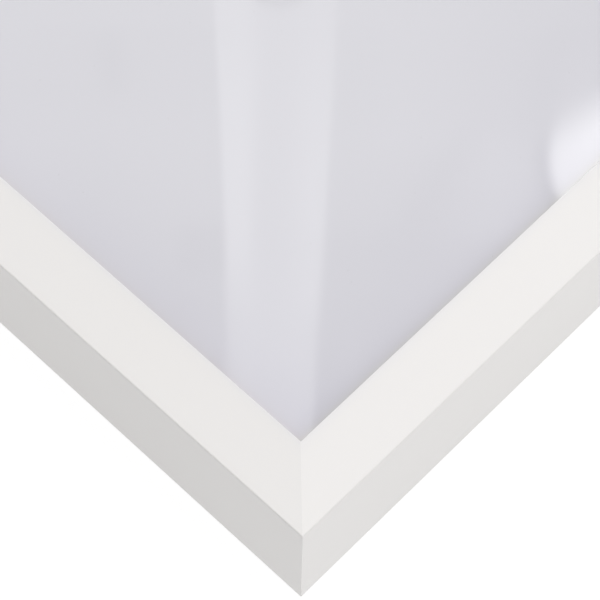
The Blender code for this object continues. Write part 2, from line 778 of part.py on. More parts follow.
def add_inlet():
    """A flanged barrel with a centre pin in its socket, two tags, and a nut behind the wall."""
    profile = [
        (0, -12.5 * MM),
        (3.9 * MM, -12.5 * MM),
        (3.9 * MM, GAP),
        (5.6 * MM, GAP),
        (5.6 * MM, 1.4 * MM),
        (5.2 * MM, 1.8 * MM),
        (2.85 * MM, 1.8 * MM),
        (2.85 * MM, -8.0 * MM),
        (1.0 * MM, -8.0 * MM),
        (1.0 * MM, 0.4 * MM),
        (0.6 * MM, 0.9 * MM),
        (0, 0.9 * MM),
    ]
    mesh = turned("power_inlet", profile, 24)
    inlet = place("power_inlet", mesh, BLACK_SHELL, at=INLET_AT, turn=OUTWARD)
    fuse_tags(
        inlet,
        "inlet_tag",
        INLET_X,
        (-INLET_TAG_X, INLET_TAG_X),
        (-0.9 * MM, -0.3 * MM, -INLET_TAG_END),
        (0.9 * MM, 0.3 * MM, -12.0 * MM),
    )
    nut_high = -WALL - GAP
    hex_nut("power_inlet_nut", 10.4 * MM, 4.05 * MM, nut_high - 2.2 * MM, nut_high, INLET_AT)


# Rocker switch: the rocker turns about Z on two stub axles
ROCKER_PIVOT = (SWITCH_X, REAR - 0.3 * MM, CONTROL_Z)
ROCKER_TURN = (0, 0, math.radians(8))       # at rest the switch is off, tilted this way
ROCKER_HALF_H = 4.95 * MM
AXLE_R = 1.05 * MM
AXLE_HALF = 5.7 * MM
AXLE_HOLE_R = 1.13 * MM
AXLE_HOLE_HALF = 5.9 * MM

# (x, y) about the pivot, with +y out of the wall
ROCKER_OUTLINE = [
    (-7.8 * MM, 4.2 * MM), (-7.5 * MM, 4.5 * MM), (-4.0 * MM, 3.75 * MM), (0, 3.45 * MM),
    (4.0 * MM, 3.75 * MM), (7.5 * MM, 4.5 * MM), (7.8 * MM, 4.2 * MM), (7.8 * MM, 0.4 * MM),
    (6.2 * MM, -1.6 * MM), (3.0 * MM, -3.4 * MM), (-3.0 * MM, -3.4 * MM),
    (-6.2 * MM, -1.6 * MM), (-7.8 * MM, 0.4 * MM),
]


def add_switch_housing():
    """A snap-in housing with a bezel, a well for the rocker and two tags."""
    body_outline = rounded(18.8 * MM, 12.6 * MM, 0.5 * MM, 2)
    body = prism("switch_housing", body_outline, -14.5 * MM, 1.0 * MM)
    housing = place("switch_housing", body, BLACK_SHELL, at=SWITCH_AT, turn=OUTWARD)
    bezel = prism("switch_bezel", rounded(21 * MM, 15 * MM, 1.2 * MM, 3), GAP, 1.8 * MM)
    fuse(housing, bezel, at=SWITCH_AT, turn=OUTWARD)
    well_outline = rounded(16.8 * MM, 10.4 * MM, 0.3 * MM, 1)
    well = prism("switch_well", well_outline, -7.5 * MM, 4 * MM)
    cut(housing, well, at=SWITCH_AT, turn=OUTWARD)
    axle_hole = prism(
        "switch_axle_hole", circle(AXLE_HOLE_R, 16), -AXLE_HOLE_HALF, AXLE_HOLE_HALF
    )
    cut(housing, axle_hole, at=ROCKER_PIVOT)
    fuse_tags(
        housing,
        "switch_tag",
        SWITCH_X,
        (-SWITCH_TAG_X, SWITCH_TAG_X),
        (-0.4 * MM, -2.3 * MM, -SWITCH_TAG_END),
        (0.4 * MM, 2.3 * MM, -14.0 * MM),
    )


def add_switch_rocker():
    body = prism("switch_rocker", ROCKER_OUTLINE, -ROCKER_HALF_H, ROCKER_HALF_H)
    rocker = place("switch_rocker", body, BLACK_SHELL, at=ROCKER_PIVOT, turn=ROCKER_TURN)
    axle = prism("rocker_axle", circle(AXLE_R, 12), -AXLE_HALF, AXLE_HALF)
    fuse(rocker, axle, at=ROCKER_PIVOT, turn=ROCKER_TURN)


# Dimmer
FLAT = 1.6 * MM             # how far the shaft's flat lies from its axis
KNOB_TURN = (-QUARTER, math.radians(-40), 0)    # pointer at its lower stop, seen from behind
KNOB_R = 9.0 * MM
FLUTES = 20
FLUTE_R = KNOB_R - 0.55 * MM    # radius at the bottom of a flute

# One flute of the outline: (share of the flute's pitch, radius)
FLUTE_POINTS = ((0.0, KNOB_R), (0.45, KNOB_R), (0.62, FLUTE_R), (0.83, FLUTE_R))

# (height, scale of the outline), tapering towards the outer face
KNOB_LEVELS = (
    (0.8 * MM, 1.0),
    (REAR_PROUD - 0.9 * MM, 0.965),
    (REAR_PROUD - 0.25 * MM, 0.92),
    (REAR_PROUD, 0.85),
)


def add_dimmer_pot():
    """Potentiometer body and bushing behind the wall, with the nut in front of it."""
    profile = [
        (0, -10.4 * MM),
        (7.6 * MM, -10.4 * MM),
        (8.2 * MM, -9.8 * MM),
        (8.2 * MM, -WALL - GAP),
        (4.4 * MM, -WALL - GAP),
        (4.4 * MM, 3.0 * MM),
        (3.08 * MM, 3.0 * MM),
        (3.08 * MM, -7.6 * MM),
        (0, -7.6 * MM),
    ]
    mesh = turned("dimmer_pot", profile, 24)
    pot = place("dimmer_pot", mesh, NICKEL, at=DIMMER_AT, turn=OUTWARD)
    fuse_tags(
        pot,
        "pot_tag",
        DIMMER_X,
        (-POT_TAG_X, 0, POT_TAG_X),
        (-0.5 * MM, POT_TAG_DROP - 0.3 * MM, -POT_TAG_END),
        (0.5 * MM, POT_TAG_DROP + 0.3 * MM, -10.0 * MM),
    )
    hex_nut("dimmer_nut", 12 * MM, 4.55 * MM, GAP, GAP + 2.0 * MM, DIMMER_AT)


def add_dimmer_shaft():
    profile = [
        (0, -7.4 * MM),
        (3.0 * MM, -7.4 * MM),
        (3.0 * MM, 9.2 * MM),
        (2.6 * MM, 9.6 * MM),
        (0, 9.6 * MM),
    ]
    mesh = turned("dimmer_shaft", profile, 24)
    shaft = place("dimmer_shaft", mesh, NICKEL, at=DIMMER_AT, turn=KNOB_TURN)
    flat = block("shaft_flat", (-4 * MM, FLAT, 3.05 * MM), (4 * MM, 5 * MM, 12 * MM))
    cut(shaft, flat, at=DIMMER_AT, turn=KNOB_TURN)


def add_dimmer_knob():
    """Fluted knob with a recess around the nut, a D-shaped bore and a pointer groove."""
    outline = []
    for i in range(FLUTES):
        for share, radius in FLUTE_POINTS:
            angle = TURN * (i + share) / FLUTES
            outline.append((radius * math.cos(angle), radius * math.sin(angle)))
    bm = bmesh.new()
    stack(
        bm,
        [
            level(bm, [(x * scale, y * scale) for x, y in outline], height)
            for height, scale in KNOB_LEVELS
        ],
    )
    mesh = finish("dimmer_knob", bm)
    knob = place("dimmer_knob", mesh, BLACK_SHELL, at=DIMMER_AT, turn=KNOB_TURN)
    bore_outline = [(x, min(y, FLAT + 0.1 * MM)) for x, y in circle(3.1 * MM, 24)]
    for cutter in (
        prism("knob_recess", circle(7.4 * MM, 24), 0, 3.2 * MM),
        prism("knob_bore", bore_outline, 2.0 * MM, 9.9 * MM),
        block(
            "knob_pointer",
            (-0.45 * MM, 3.2 * MM, REAR_PROUD - 0.5 * MM),
            (0.45 * MM, 12 * MM, REAR_PROUD + 1 * MM),
        ),
    ):
        cut(knob, cutter, at=DIMMER_AT, turn=KNOB_TURN)


# ---------------------------------------------------------------- wiring

PLUG_Z = BOARD_TOP + 3.2 * MM
END = 0.25 * MM             # clearance between a lead's end and its tag or plug
STRAIGHT = 3 * MM           # where a lead's first bend lies, from its tag or plug

# Ribbon
RIBBON_T = 0.8 * MM
RIBBON_HALF = 2.5 * MM      # half its width
RIBBON_SAG = 1.6 * MM
SAG_FROM = 14 * MM          # from a bar's middle to where the ribbon hangs lowest


def wire(name, points, radius, material):
    """A round insulated lead through the points, with closed ends."""
    curve = bpy.data.curves.new(name, "CURVE")
    curve.dimensions = "3D"
    curve.resolution_u = 4
    curve.bevel_depth = radius
    curve.bevel_resolution = 1
    curve.use_fill_caps = True
    spline = curve.splines.new("BEZIER")
    spline.bezier_points.add(len(points) - 1)
    for knot, point in zip(spline.bezier_points, points):
        knot.co = point
        knot.handle_left_type = knot.handle_right_type = "AUTO"
    place(name, curve, material)


def board_lead(control, tag, radius, material):
    """A lead that leaves a control's tag along -Y and runs into the rear side of its plug on the board."""
    x, y, z = tag
    plug_x = BOARD_X + BOARD_PLUGS[control][0]
    plug_y = BOARD_Y + BOARD_PLUGS[control][1] + BOARD_PLUG_HALF_Y
    points = [
        (x, y - END, z),
        (x, y - STRAIGHT, z),
        (plug_x, plug_y + STRAIGHT, PLUG_Z),
        (plug_x, plug_y + END, PLUG_Z),
    ]
    wire(f"wire_{control}_to_board", points, radius, material)


def add_control_wires():
    inlet_x, inlet_y = INLET_X + INLET_TAG_X, REAR - INLET_TAG_END
    switch_x, switch_y = SWITCH_X - SWITCH_TAG_X, REAR - SWITCH_TAG_END
    points = [
        (inlet_x, inlet_y - END, CONTROL_Z),
        (inlet_x, inlet_y - STRAIGHT, CONTROL_Z),
        (INLET_X + 8 * MM, REAR - 27 * MM, CONTROL_Z + 1.2 * MM),
        (SWITCH_X - 14 * MM, REAR - 29.5 * MM, CONTROL_Z + 1.2 * MM),
        (switch_x, REAR - 25 * MM, CONTROL_Z),
        (switch_x, switch_y - END, CONTROL_Z),
    ]
    wire("wire_inlet_to_switch", points, 0.7 * MM, WIRE_RED)

    switch_tag = (SWITCH_X + SWITCH_TAG_X, switch_y, CONTROL_Z)
    inlet_tag = (INLET_X - INLET_TAG_X, inlet_y, CONTROL_Z)
    dimmer_tag = (DIMMER_X, REAR - POT_TAG_END, CONTROL_Z - POT_TAG_DROP)
    board_lead("switch", switch_tag, 0.7 * MM, WIRE_RED)
    board_lead("inlet", inlet_tag, 0.7 * MM, WIRE_BLACK)
    board_lead("dimmer", dimmer_tag, 0.8 * MM, WIRE_GREY)


def add_led_wire():
    """From the front of the board's plug, up through the grommet and over the tray to a bar's plug."""
    x = BOARD_X + BOARD_PLUGS["leds"][0]
    y = BOARD_Y + BOARD_PLUGS["leds"][1] - BOARD_PLUG_HALF_Y
    hole_x, hole_y = GROMMET_AT
    lead_z = TRAY_FLOOR_TOP + 1.8 * MM
    points = [
        # Under the tray
        (x, y - END, PLUG_Z),
        (x, y - 2 * MM, PLUG_Z),
        (x - 6 * MM, y - 7 * MM, PLUG_Z - 0.6 * MM),
        (hole_x + 16 * MM, hole_y - 2 * MM, PLUG_Z - 1.0 * MM),
        (hole_x + 4 * MM, hole_y, PLUG_Z - 0.4 * MM),
        # Through the grommet
        (hole_x, hole_y, TRAY_FLOOR_UNDER - 1.0 * MM),
        (hole_x, hole_y, TRAY_FLOOR_UNDER + 2.5 * MM),
        # Over the tray floor
        (hole_x + 4 * MM, hole_y, lead_z + 4.0 * MM),
        (hole_x + 14 * MM, hole_y, lead_z + 1.6 * MM),
        (hole_x + 24 * MM, hole_y, lead_z),
        (hole_x + 34 * MM, hole_y, lead_z),
        (BAR_PLUG_X - 24 * MM, hole_y, lead_z),
        (BAR_PLUG_X - 3 * MM, hole_y - 5 * MM, lead_z),
        (BAR_PLUG_X, BAR_PITCH + 12 * MM, lead_z + 0.5 * MM),
        (BAR_PLUG_X, BAR_PITCH + BAR_PLUG_HALF + END, lead_z + 0.6 * MM),
    ]
    wire("wire_board_to_leds", points, 0.9 * MM, WIRE_WHITE)


def add_ribbon():
    """A flat ribbon over the plugs joins the light bars, and sags between them."""
    high = BAR_PLUG_TOP + GAP
    low = high - RIBBON_SAG
    under = []
    for i in range(BARS):
        y = bar_y(i)
        under += [(y - BAR_PLUG_HALF, high), (y + BAR_PLUG_HALF, high)]
        if i < BARS - 1:
            under += [(y + SAG_FROM, low), (y + BAR_PITCH - SAG_FROM, low)]
    over = [(y, z + RIBBON_T) for y, z in reversed(under)]
    mesh = prism("led_ribbon", under + over, -RIBBON_HALF, RIBBON_HALF)
    # The turn lays the outline in the YZ plane and the width along X.
    place("led_ribbon", mesh, WIRE_WHITE, at=(BAR_PLUG_X, 0, 0), turn=(QUARTER, 0, QUARTER))


# ---------------------------------------------------------------- assembly

add_frame()
add_corner_keys()
add_panel()
add_gasket()
add_back_cover()
add_screws()
add_feet()
add_tray()
add_grommet()
add_spacers()
add_light_bars()
add_panel_posts()
add_driver_board()
add_board_supports()
add_inlet()
add_switch_housing()
add_switch_rocker()
add_dimmer_pot()
add_dimmer_shaft()
add_dimmer_knob()
add_control_wires()
add_led_wire()
add_ribbon()
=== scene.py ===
"""Looks for a light table: powder-coated mitred frame, gloss opal panel, rear controls, pale studio.

The table lies flat: X runs from left to right, Y from front to rear, Z up. The controls sit on the
rear wall and face +Y. Lengths are in metres; tables marked mm are in millimetres.
"""

import json
import math
from functools import reduce

import bmesh
import bpy
from mathutils import Matrix, Vector


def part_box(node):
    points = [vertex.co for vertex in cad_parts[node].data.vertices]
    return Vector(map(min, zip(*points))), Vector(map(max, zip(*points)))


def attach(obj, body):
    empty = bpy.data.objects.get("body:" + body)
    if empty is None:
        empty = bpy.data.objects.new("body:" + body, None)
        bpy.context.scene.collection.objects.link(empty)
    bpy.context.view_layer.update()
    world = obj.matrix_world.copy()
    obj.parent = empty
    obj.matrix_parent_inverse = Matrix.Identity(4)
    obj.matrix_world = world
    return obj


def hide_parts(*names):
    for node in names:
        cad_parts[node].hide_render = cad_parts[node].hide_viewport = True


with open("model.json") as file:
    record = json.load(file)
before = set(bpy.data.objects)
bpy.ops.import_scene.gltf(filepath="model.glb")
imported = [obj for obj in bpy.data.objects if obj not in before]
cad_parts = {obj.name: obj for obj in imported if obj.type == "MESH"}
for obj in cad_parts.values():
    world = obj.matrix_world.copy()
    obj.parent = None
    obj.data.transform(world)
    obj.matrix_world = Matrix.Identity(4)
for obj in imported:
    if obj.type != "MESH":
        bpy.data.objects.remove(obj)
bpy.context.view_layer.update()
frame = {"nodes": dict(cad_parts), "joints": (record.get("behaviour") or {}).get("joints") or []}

MM = 0.001
TURN = 2 * math.pi
NODES = frame["nodes"]
JOINTS = {joint["name"]: joint for joint in frame["joints"]}

# The frame's outer faces, and the panel's free area inside its lip
LEFT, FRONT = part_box("frame_left")[0].x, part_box("frame_front")[0].y
RIGHT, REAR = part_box("frame_right")[1].x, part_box("frame_rear")[1].y
BOTTOM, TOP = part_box("frame_front")[0].z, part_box("frame_front")[1].z
PANEL_LOW = Vector((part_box("frame_left")[1].x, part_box("frame_front")[1].y, 0))
PANEL_HIGH = Vector((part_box("frame_right")[0].x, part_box("frame_rear")[0].y, 0))
BAR_WIDTH = PANEL_LOW.x - LEFT


def mm(*values):
    return tuple(value * MM for value in values)


# ------------------------------------------------------------------ node graphs


def feed(node, inputs):
    """Sets or links a node's inputs, given by name or index."""
    for key, value in inputs.items():
        socket = node.inputs[key]
        if isinstance(value, Value):
            socket.id_data.links.new(value.socket, socket)
        elif value is not None:
            socket.default_value = value


def add_node(tree, kind, inputs=None, **settings):
    made = tree.nodes.new(kind)
    for key, value in settings.items():
        setattr(made, key, value)
    feed(made, inputs or {})
    return made


def operator(operation):
    return lambda self, other: self.math(operation, other)


def reflected(operation):
    return lambda self, other: self.node(
        "ShaderNodeMath", {0: other, 1: self}, operation=operation
    )


class Value:
    """An output socket. Arithmetic and methods on it add nodes to its tree."""

    def __init__(self, socket):
        self.socket = socket

    def node(self, kind, inputs, output=0, **settings):
        made = add_node(self.socket.id_data, kind, inputs, **settings)
        return Value(made.outputs[output])

    def math(self, operation, *others):
        inputs = dict(enumerate((self, *others)))
        return self.node("ShaderNodeMath", inputs, operation=operation)

    __add__, __radd__ = operator("ADD"), reflected("ADD")
    __sub__, __rsub__ = operator("SUBTRACT"), reflected("SUBTRACT")
    __mul__, __rmul__ = operator("MULTIPLY"), reflected("MULTIPLY")
    __truediv__, __pow__ = operator("DIVIDE"), operator("POWER")

    def __abs__(self):
        return self.math("ABSOLUTE")

    def max(self, other):
        return self.math("MAXIMUM", other)

    def exp(self):
        return self.math("EXPONENT")

    def falloff(self, reach, power=1.0):
        """1 at zero, falling exponentially, or as a bell where power is 2."""
        return ((self * (1 / reach)) ** power * -1.0).exp()

    def dot(self, direction):
        inputs = {0: self, 1: direction}
        return self.node("ShaderNodeVectorMath", inputs, "Value", operation="DOT_PRODUCT")

    def split(self):
        made = add_node(self.socket.id_data, "ShaderNodeSeparateXYZ", {0: self})
        return [Value(output) for output in made.outputs]

    def map_range(self, start, end, low, high, **settings):
        names = ("Value", "From Min", "From Max", "To Min", "To Max")
        inputs = dict(zip(names, (self, start, end, low, high)))
        return self.node("ShaderNodeMapRange", inputs, **settings)

    def step(self, start, end, low=0.0, high=1.0):
        """Smooth step from low at start to high at end."""
        return self.map_range(start, end, low, high, interpolation_type="SMOOTHSTEP")

    def gate(self, shut, opened):
        """Smooth step from 0 at shut to 1 at opened, in either direction."""
        if shut < opened:
            return self.step(shut, opened)
        return self.step(opened, shut, 1.0, 0.0)

    def ramp(self, start, end, low=0.0, high=1.0):
        return self.map_range(start, end, low, high, clamp=True)

    def ramps(self, *rows):
        """Sum of ramps, each (start, end, level at start, level at end)."""
        return total([self.ramp(*row) for row in rows])

    def mix(self, first, second):
        inputs = {"Factor": self, 6: first, 7: second}
        return self.node("ShaderNodeMix", inputs, 2, data_type="RGBA")

    def blend(self, first, second):
        return first * (1.0 - self) + second * self

    def noise(self, scale, detail=2.0, roughness=0.5):
        inputs = {"Vector": self, "Scale": scale, "Detail": detail, "Roughness": roughness}
        return self.node("ShaderNodeTexNoise", inputs, "Fac")

    def varied(self, scale, low, high, detail=2.0, roughness=0.5):
        """Noise spread between low and high."""
        return self.noise(scale, detail, roughness).ramp(0.3, 0.7, low, high)

    def cells(self, scale, **settings):
        """Voronoi cells: distance to the nearest centre, and a random colour per cell."""
        made = add_node(
            self.socket.id_data,
            "ShaderNodeTexVoronoi",
            {"Vector": self, "Scale": scale},
            feature="F1",
            **settings,
        )
        return Value(made.outputs["Distance"]), Value(made.outputs["Color"])

    def bump(self, distance, normal=None):
        inputs = {"Height": self, "Distance": distance, "Strength": 1.0, "Normal": normal}
        return self.node("ShaderNodeBump", inputs, "Normal")


def total(values):
    return reduce(lambda first, second: first + second, values)


def product(values):
    return reduce(lambda first, second: first * second, values)


def join(*values):
    return values[0].node("ShaderNodeCombineXYZ", dict(enumerate(values)))


def scaled(colour, factor):
    inputs = {0: colour, "Scale": factor}
    return factor.node("ShaderNodeVectorMath", inputs, operation="SCALE")


def source(tree, kind, output):
    return Value(add_node(tree, kind).outputs[output])


def rgba(colour):
    return (*colour, 1.0)


def material(name):
    """A new material, its shader, and the position on the object."""
    made = bpy.data.materials.new(name)
    made.use_nodes = True
    at = source(made.node_tree, "ShaderNodeTexCoord", "Object")
    return made, made.node_tree.nodes["Principled BSDF"], at


# ------------------------------------------------------------------ materials

PAINTED_EDGE_SHADE = (0.062, 0.056, 0.028)  # red, green and blue taken off by the painted cool shade where it is fullest, beside the opening


def paint_bar_light(base, at, wall):
    """Paints cool grey shade on the top of a bar beside the opening, and paints light and shade on
    its sides; wall is its sides' tone.
    """
    x, y, z = at.split()
    away = (PANEL_LOW.x - x).max(x - PANEL_HIGH.x)
    away = away.max((PANEL_LOW.y - y).max(y - PANEL_HIGH.y))
    # thin is painted cool shade beside the opening, fullest at its edge, on the top only
    thin = (away.max(0.0) * (-1 / (1.25 * MM))).exp()
    thin = thin * z.step(TOP - 0.6 * MM, TOP - 0.2 * MM)
    kept = join(*[1.0 - thin * loss for loss in PAINTED_EDGE_SHADE])
    tinted = thin.node("ShaderNodeVectorMath", {0: base, 1: kept}, operation="MULTIPLY")
    # the sides take their painted light and shade, wall, against the top
    return scaled(tinted, z.step(TOP - 1.4 * MM, TOP - 0.6 * MM, wall, 1.0))


def powder_coat(name, colour, tone=1.0, roughness=0.38, peel=1.0, lip=False, wall=1.0):
    """Satin powder coat: orange peel under a finer grain, and a slow drift in tone. A tone away from
    1 and wall paint light and shade; lip paints cool shade beside the opening.
    """
    made, shader, at = material(name)
    drift = at.varied(scale=7.0, low=0.994 * tone, high=1.006 * tone, detail=1.0)
    fleck = at.varied(scale=2600.0, low=0.996, high=1.004, detail=1.0)
    base = scaled(scaled(colour, drift), fleck)
    # painted cool shade beside the opening, and painted light and shade on the sides
    if lip:
        base = paint_bar_light(base, at, wall)
    broad = at.noise(scale=620.0, detail=1.0, roughness=0.4).bump(0.012 * MM * peel)
    feed(shader, {
        "Base Color": base,
        "Roughness": at.varied(scale=900.0, low=roughness - 0.03, high=roughness + 0.04),
        "IOR": 1.5,
        "Normal": at.noise(scale=2400.0).bump(0.0025 * MM * peel, normal=broad),
    })
    return made


def moulding(name, colour, roughness, grain=1.0, scale=2800.0):
    """Injection moulding with a fine spark-eroded grain."""
    made, shader, at = material(name)
    tone = at.varied(scale=180.0, low=0.93, high=1.07, detail=3.0)
    feed(shader, {
        "Base Color": scaled(colour, tone),
        "Roughness": at.varied(scale * 0.5, low=roughness - 0.05, high=roughness + 0.07),
        "Normal": at.noise(scale, detail=3.0, roughness=0.6).bump(0.01 * MM * grain),
    })
    return made


def metal(name, colour, roughness, scratch=0.5):
    """Plated or bare metal with fine scratches."""
    made, shader, at = material(name)
    lines = at.noise(scale=1800.0, detail=4.0, roughness=0.7)
    feed(shader, {
        "Metallic": 1.0,
        "Base Color": scaled(colour, at.varied(scale=120.0, low=0.9, high=1.05, detail=3.0)),
        "Roughness": lines.ramp(0.3, 0.7, roughness * 0.8, roughness * 1.25),
        "Normal": lines.bump(0.004 * MM * scratch),
    })
    return made


def rubber(name, colour):
    """Matt rubber with patches of pale dust."""
    made, shader, at = material(name)
    dust = at.noise(scale=260.0, detail=4.0, roughness=0.65).ramp(0.45, 0.75, 0.0, 0.35)
    dusty = [channel * 1.8 + 0.015 for channel in colour]
    feed(shader, {
        "Base Color": dust.mix(rgba(colour), rgba(dusty)),
        "Roughness": at.varied(scale=700.0, low=0.62, high=0.85),
        "Normal": at.noise(scale=1500.0, detail=3.0).bump(0.02 * MM),
    })
    return made


# Painted shade that greys the panel towards each side of the frame: (reach in mm, amount, power of
# the falloff)
PAINTED_SHADE_LEFT = ((12, 0.038, 1), (7, 0.066, 1), (30, 0.024, 2))
PAINTED_SHADE_RIGHT = ((12, 0.05, 1), (30, 0.04, 2))
PAINTED_SHADE_FRONT = ((12, 0.054, 1), (5.5, 0.048, 2), (42, 0.050, 2))
PAINTED_SHADE_REAR = ((12, 0.06, 1), (36, 0.04, 2))
# Red, green and blue: (level, share of the broad painted shade, share of the close painted shade,
# gain of the painted light at the front). Blue falls off less than red and green under the painted
# shade, except right beside the frame.
OPAL_CHANNELS = ((0.705, 0.96, 0.3, 1.0), (0.699, 1.0, 0.85, 1.05), (0.740, 0.78, 2.4, -1.0))


def opal():
    """Gloss opal acrylic: a cool milky body with a few dust specks, painted shade that greys it
    towards the frame, and painted warm light beside the front bar.
    """
    made, shader, at = material("look_opal_acrylic")
    x, y, _ = at.split()
    left, right = x - PANEL_LOW.x, PANEL_HIGH.x - x
    front, rear = y - PANEL_LOW.y, PANEL_HIGH.y - y

    def fades(distance, *rows):
        return total([
            distance.max(0.0).falloff(reach * MM, power) * amount for reach, amount, power in rows
        ])

    # the painted shade by the left side is weaker at the front corner
    by_left = fades(left, *PAINTED_SHADE_LEFT) * front.ramp(0.0, 16 * MM, 0.75, 1.0)
    by_right = fades(right, *PAINTED_SHADE_RIGHT)
    # grey is the painted shade, darkest beside the frame
    grey = by_left + by_right + fades(front, *PAINTED_SHADE_FRONT) + fades(rear, *PAINTED_SHADE_REAR)
    # near is painted contact shade right beside the left, right and rear bars
    near = fades(left, (2.2, 0.030, 1)) + fades(right, (2.2, 0.02, 1))
    near = near + fades(rear, (2.4, 0.02, 1))
    # painted light right beside the front bar: lighter and warmer, with less blue
    painted_front_light = fades(front, (1.6, 0.05, 1))
    channels = [
        level * ((1.0 + painted_front_light * gain) - (grey * broad + near * close))
        for level, broad, close, gain in OPAL_CHANNELS
    ]
    body = scaled(join(*channels), at.varied(scale=5.0, low=0.997, high=1.003, detail=1.0))

    # sparse dust: about a quarter of the cells hold a speck
    distance, odds = at.cells(scale=62.0, voronoi_dimensions="2D")
    there = odds.split()[0].math("GREATER_THAN", 0.72)
    speck = distance.gate(0.0095, 0.0055) * there
    feed(shader, {
        "Base Color": (speck * 0.45).mix(body, rgba((0.30, 0.29, 0.28))),
        "Roughness": 0.015 + speck * 0.4,
        "IOR": 1.49,
        "Normal": at.noise(scale=26.0, detail=1.0, roughness=0.3).bump(0.0012 * MM),
    })
    return made


def board_look(name, node, base, thickness, above):
    """A populated board: solder mask up to its face, another finish on what stands on it."""
    made, shader, at = material(name)
    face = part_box(node)[0].z + thickness
    standing = at.split()[2].step(face, face + 0.1 * MM)
    squares = join(*[axis.math("SNAP", 1.3 * MM) for axis in at.split()])
    tracks = squares.noise(scale=400.0, detail=0.0).ramp(0.5, 0.56, 0.0, 0.25)
    mask = tracks.mix(rgba(base), rgba([min(1.0, channel * 1.5 + 0.02) for channel in base]))
    shade = at.cells(scale=90.0)[1].split()[0].ramp(0.0, 1.0, 0.8, 1.2)
    feed(shader, {
        "Base Color": standing.mix(mask, scaled(above, shade)),
        "Roughness": standing.mix(rgba((0.42,) * 3), rgba((0.3,) * 3)),
    })
    return made


def insulation(name, colour):
    return moulding(name, colour, roughness=0.35, grain=0.3, scale=900.0)


COAT = (0.868, 0.849, 0.836)
# Painted light and shade: each frame bar's tone, and the tone of its sides against its top, as the
# light falls on them
BAR_PAINTED_LIGHT = {
    "front": (1.006, 0.985),
    "left": (0.963, 0.998),
    "rear": (0.985, 1.0),
    "right": (0.985, 1.0),
}
# four lit and shaded copies of one coat, one for each bar
COATS = {
    f"frame_{bar}": powder_coat(f"look_white_coat_{bar}", COAT, tone, lip=True, wall=wall)
    for bar, (tone, wall) in BAR_PAINTED_LIGHT.items()
}
# the bead's coat is 2% lighter than the plain coat: a painted highlight along the mitre
BEAD = powder_coat("look_white_coat_bead", COAT, tone=1.02, roughness=0.3)
COVER = powder_coat("look_cover_coat", (0.72, 0.72, 0.71), roughness=0.45, peel=2.0)
REFLECTOR = powder_coat("look_reflector", (0.90, 0.90, 0.89), roughness=0.6, peel=1.5)
OPAL = opal()
BLACK = moulding("look_black_moulding", (0.018, 0.018, 0.019), roughness=0.38)
BLACK_GLOSS = moulding("look_black_rocker", (0.016, 0.016, 0.017), roughness=0.26, grain=0.3)
NYLON = moulding("look_natural_nylon", (0.78, 0.77, 0.70), roughness=0.45, grain=0.6)
RUBBER = rubber("look_black_rubber", (0.028, 0.028, 0.028))
FOAM = moulding("look_gasket_foam", (0.045,) * 3, roughness=0.9, grain=6.0, scale=1500.0)
ZINC = metal("look_zinc_steel", (0.66, 0.68, 0.72), roughness=0.28)
NICKEL = metal("look_nickel_plate", (0.74, 0.71, 0.66), roughness=0.2, scratch=0.3)
CAST = metal("look_die_cast", (0.58, 0.58, 0.59), roughness=0.5, scratch=3.0)
INK = moulding("look_grey_ink", (0.10, 0.10, 0.105), roughness=0.55, grain=0.2)
WHITE_INK = moulding("look_white_ink", (0.80, 0.80, 0.78), roughness=0.5, grain=0.2)
WIRE_RED = insulation("look_wire_red", (0.50, 0.02, 0.02))
WIRE_BLACK = insulation("look_wire_black", (0.02, 0.02, 0.02))
WIRE_GREY = insulation("look_wire_grey", (0.32, 0.32, 0.33))
WIRE_WHITE = insulation("look_wire_white", (0.74, 0.74, 0.72))
LED_BOARD = board_look(
    "look_led_board", "led_bar_1", base=(0.84, 0.84, 0.82), thickness=1.25 * MM,
    above=(0.80, 0.81, 0.78),
)
DRIVER = board_look(
    "look_driver_board", "driver_board", base=(0.012, 0.14, 0.05), thickness=1.65 * MM,
    above=(0.05, 0.05, 0.055),
)

# ------------------------------------------------------------------ CAD solids

# Look by the start of a solid's name; the first match counts
LOOKS = {
    **COATS,
    "wire_inlet_to_switch": WIRE_RED,
    "wire_switch_to_board": WIRE_RED,
    "wire_inlet_to_board": WIRE_BLACK,
    "wire_dimmer_to_board": WIRE_GREY,
    "wire_board_to_leds": WIRE_WHITE,
    "led_ribbon": WIRE_WHITE,
    "diffuser_panel": OPAL,
    "panel_gasket": FOAM,
    "back_cover": COVER,
    "reflector_tray": REFLECTOR,
    "cover_screw": ZINC,
    "tray_spacer": ZINC,
    "corner_key": CAST,
    "foot_": RUBBER,
    "tray_grommet": RUBBER,
    "led_bar": LED_BOARD,
    "driver_board": DRIVER,
    "board_support": NYLON,
    "panel_post": NYLON,
    "power_inlet_nut": NICKEL,
    "dimmer_nut": NICKEL,
    "dimmer_pot": NICKEL,
    "dimmer_shaft": NICKEL,
    "switch_rocker": BLACK_GLOSS,
    "power_inlet": BLACK,
    "switch_housing": BLACK,
    "dimmer_knob": BLACK,
}

# Edge radii in mm, by the start of the name; the other solids keep their edges
EDGES = {
    "corner_key": 0.35,
    "tray_spacer": 0.25,
    "back_cover": 0.12,
    "driver_board": 0.12,
    "power_inlet_nut": 0.2,
    "dimmer_nut": 0.3,
    "reflector_tray": 0.1,
}


def geometry_group(name, build):
    """A geometry-nodes group for a modifier: build turns the geometry into the new one."""
    tree = bpy.data.node_groups.new(name, "GeometryNodeTree")
    for direction in ("INPUT", "OUTPUT"):
        tree.interface.new_socket(
            "Geometry", in_out=direction, socket_type="NodeSocketGeometry"
        )
    end = add_node(tree, "NodeGroupOutput")
    feed(end, {0: build(source(tree, "NodeGroupInput", 0))})
    return tree


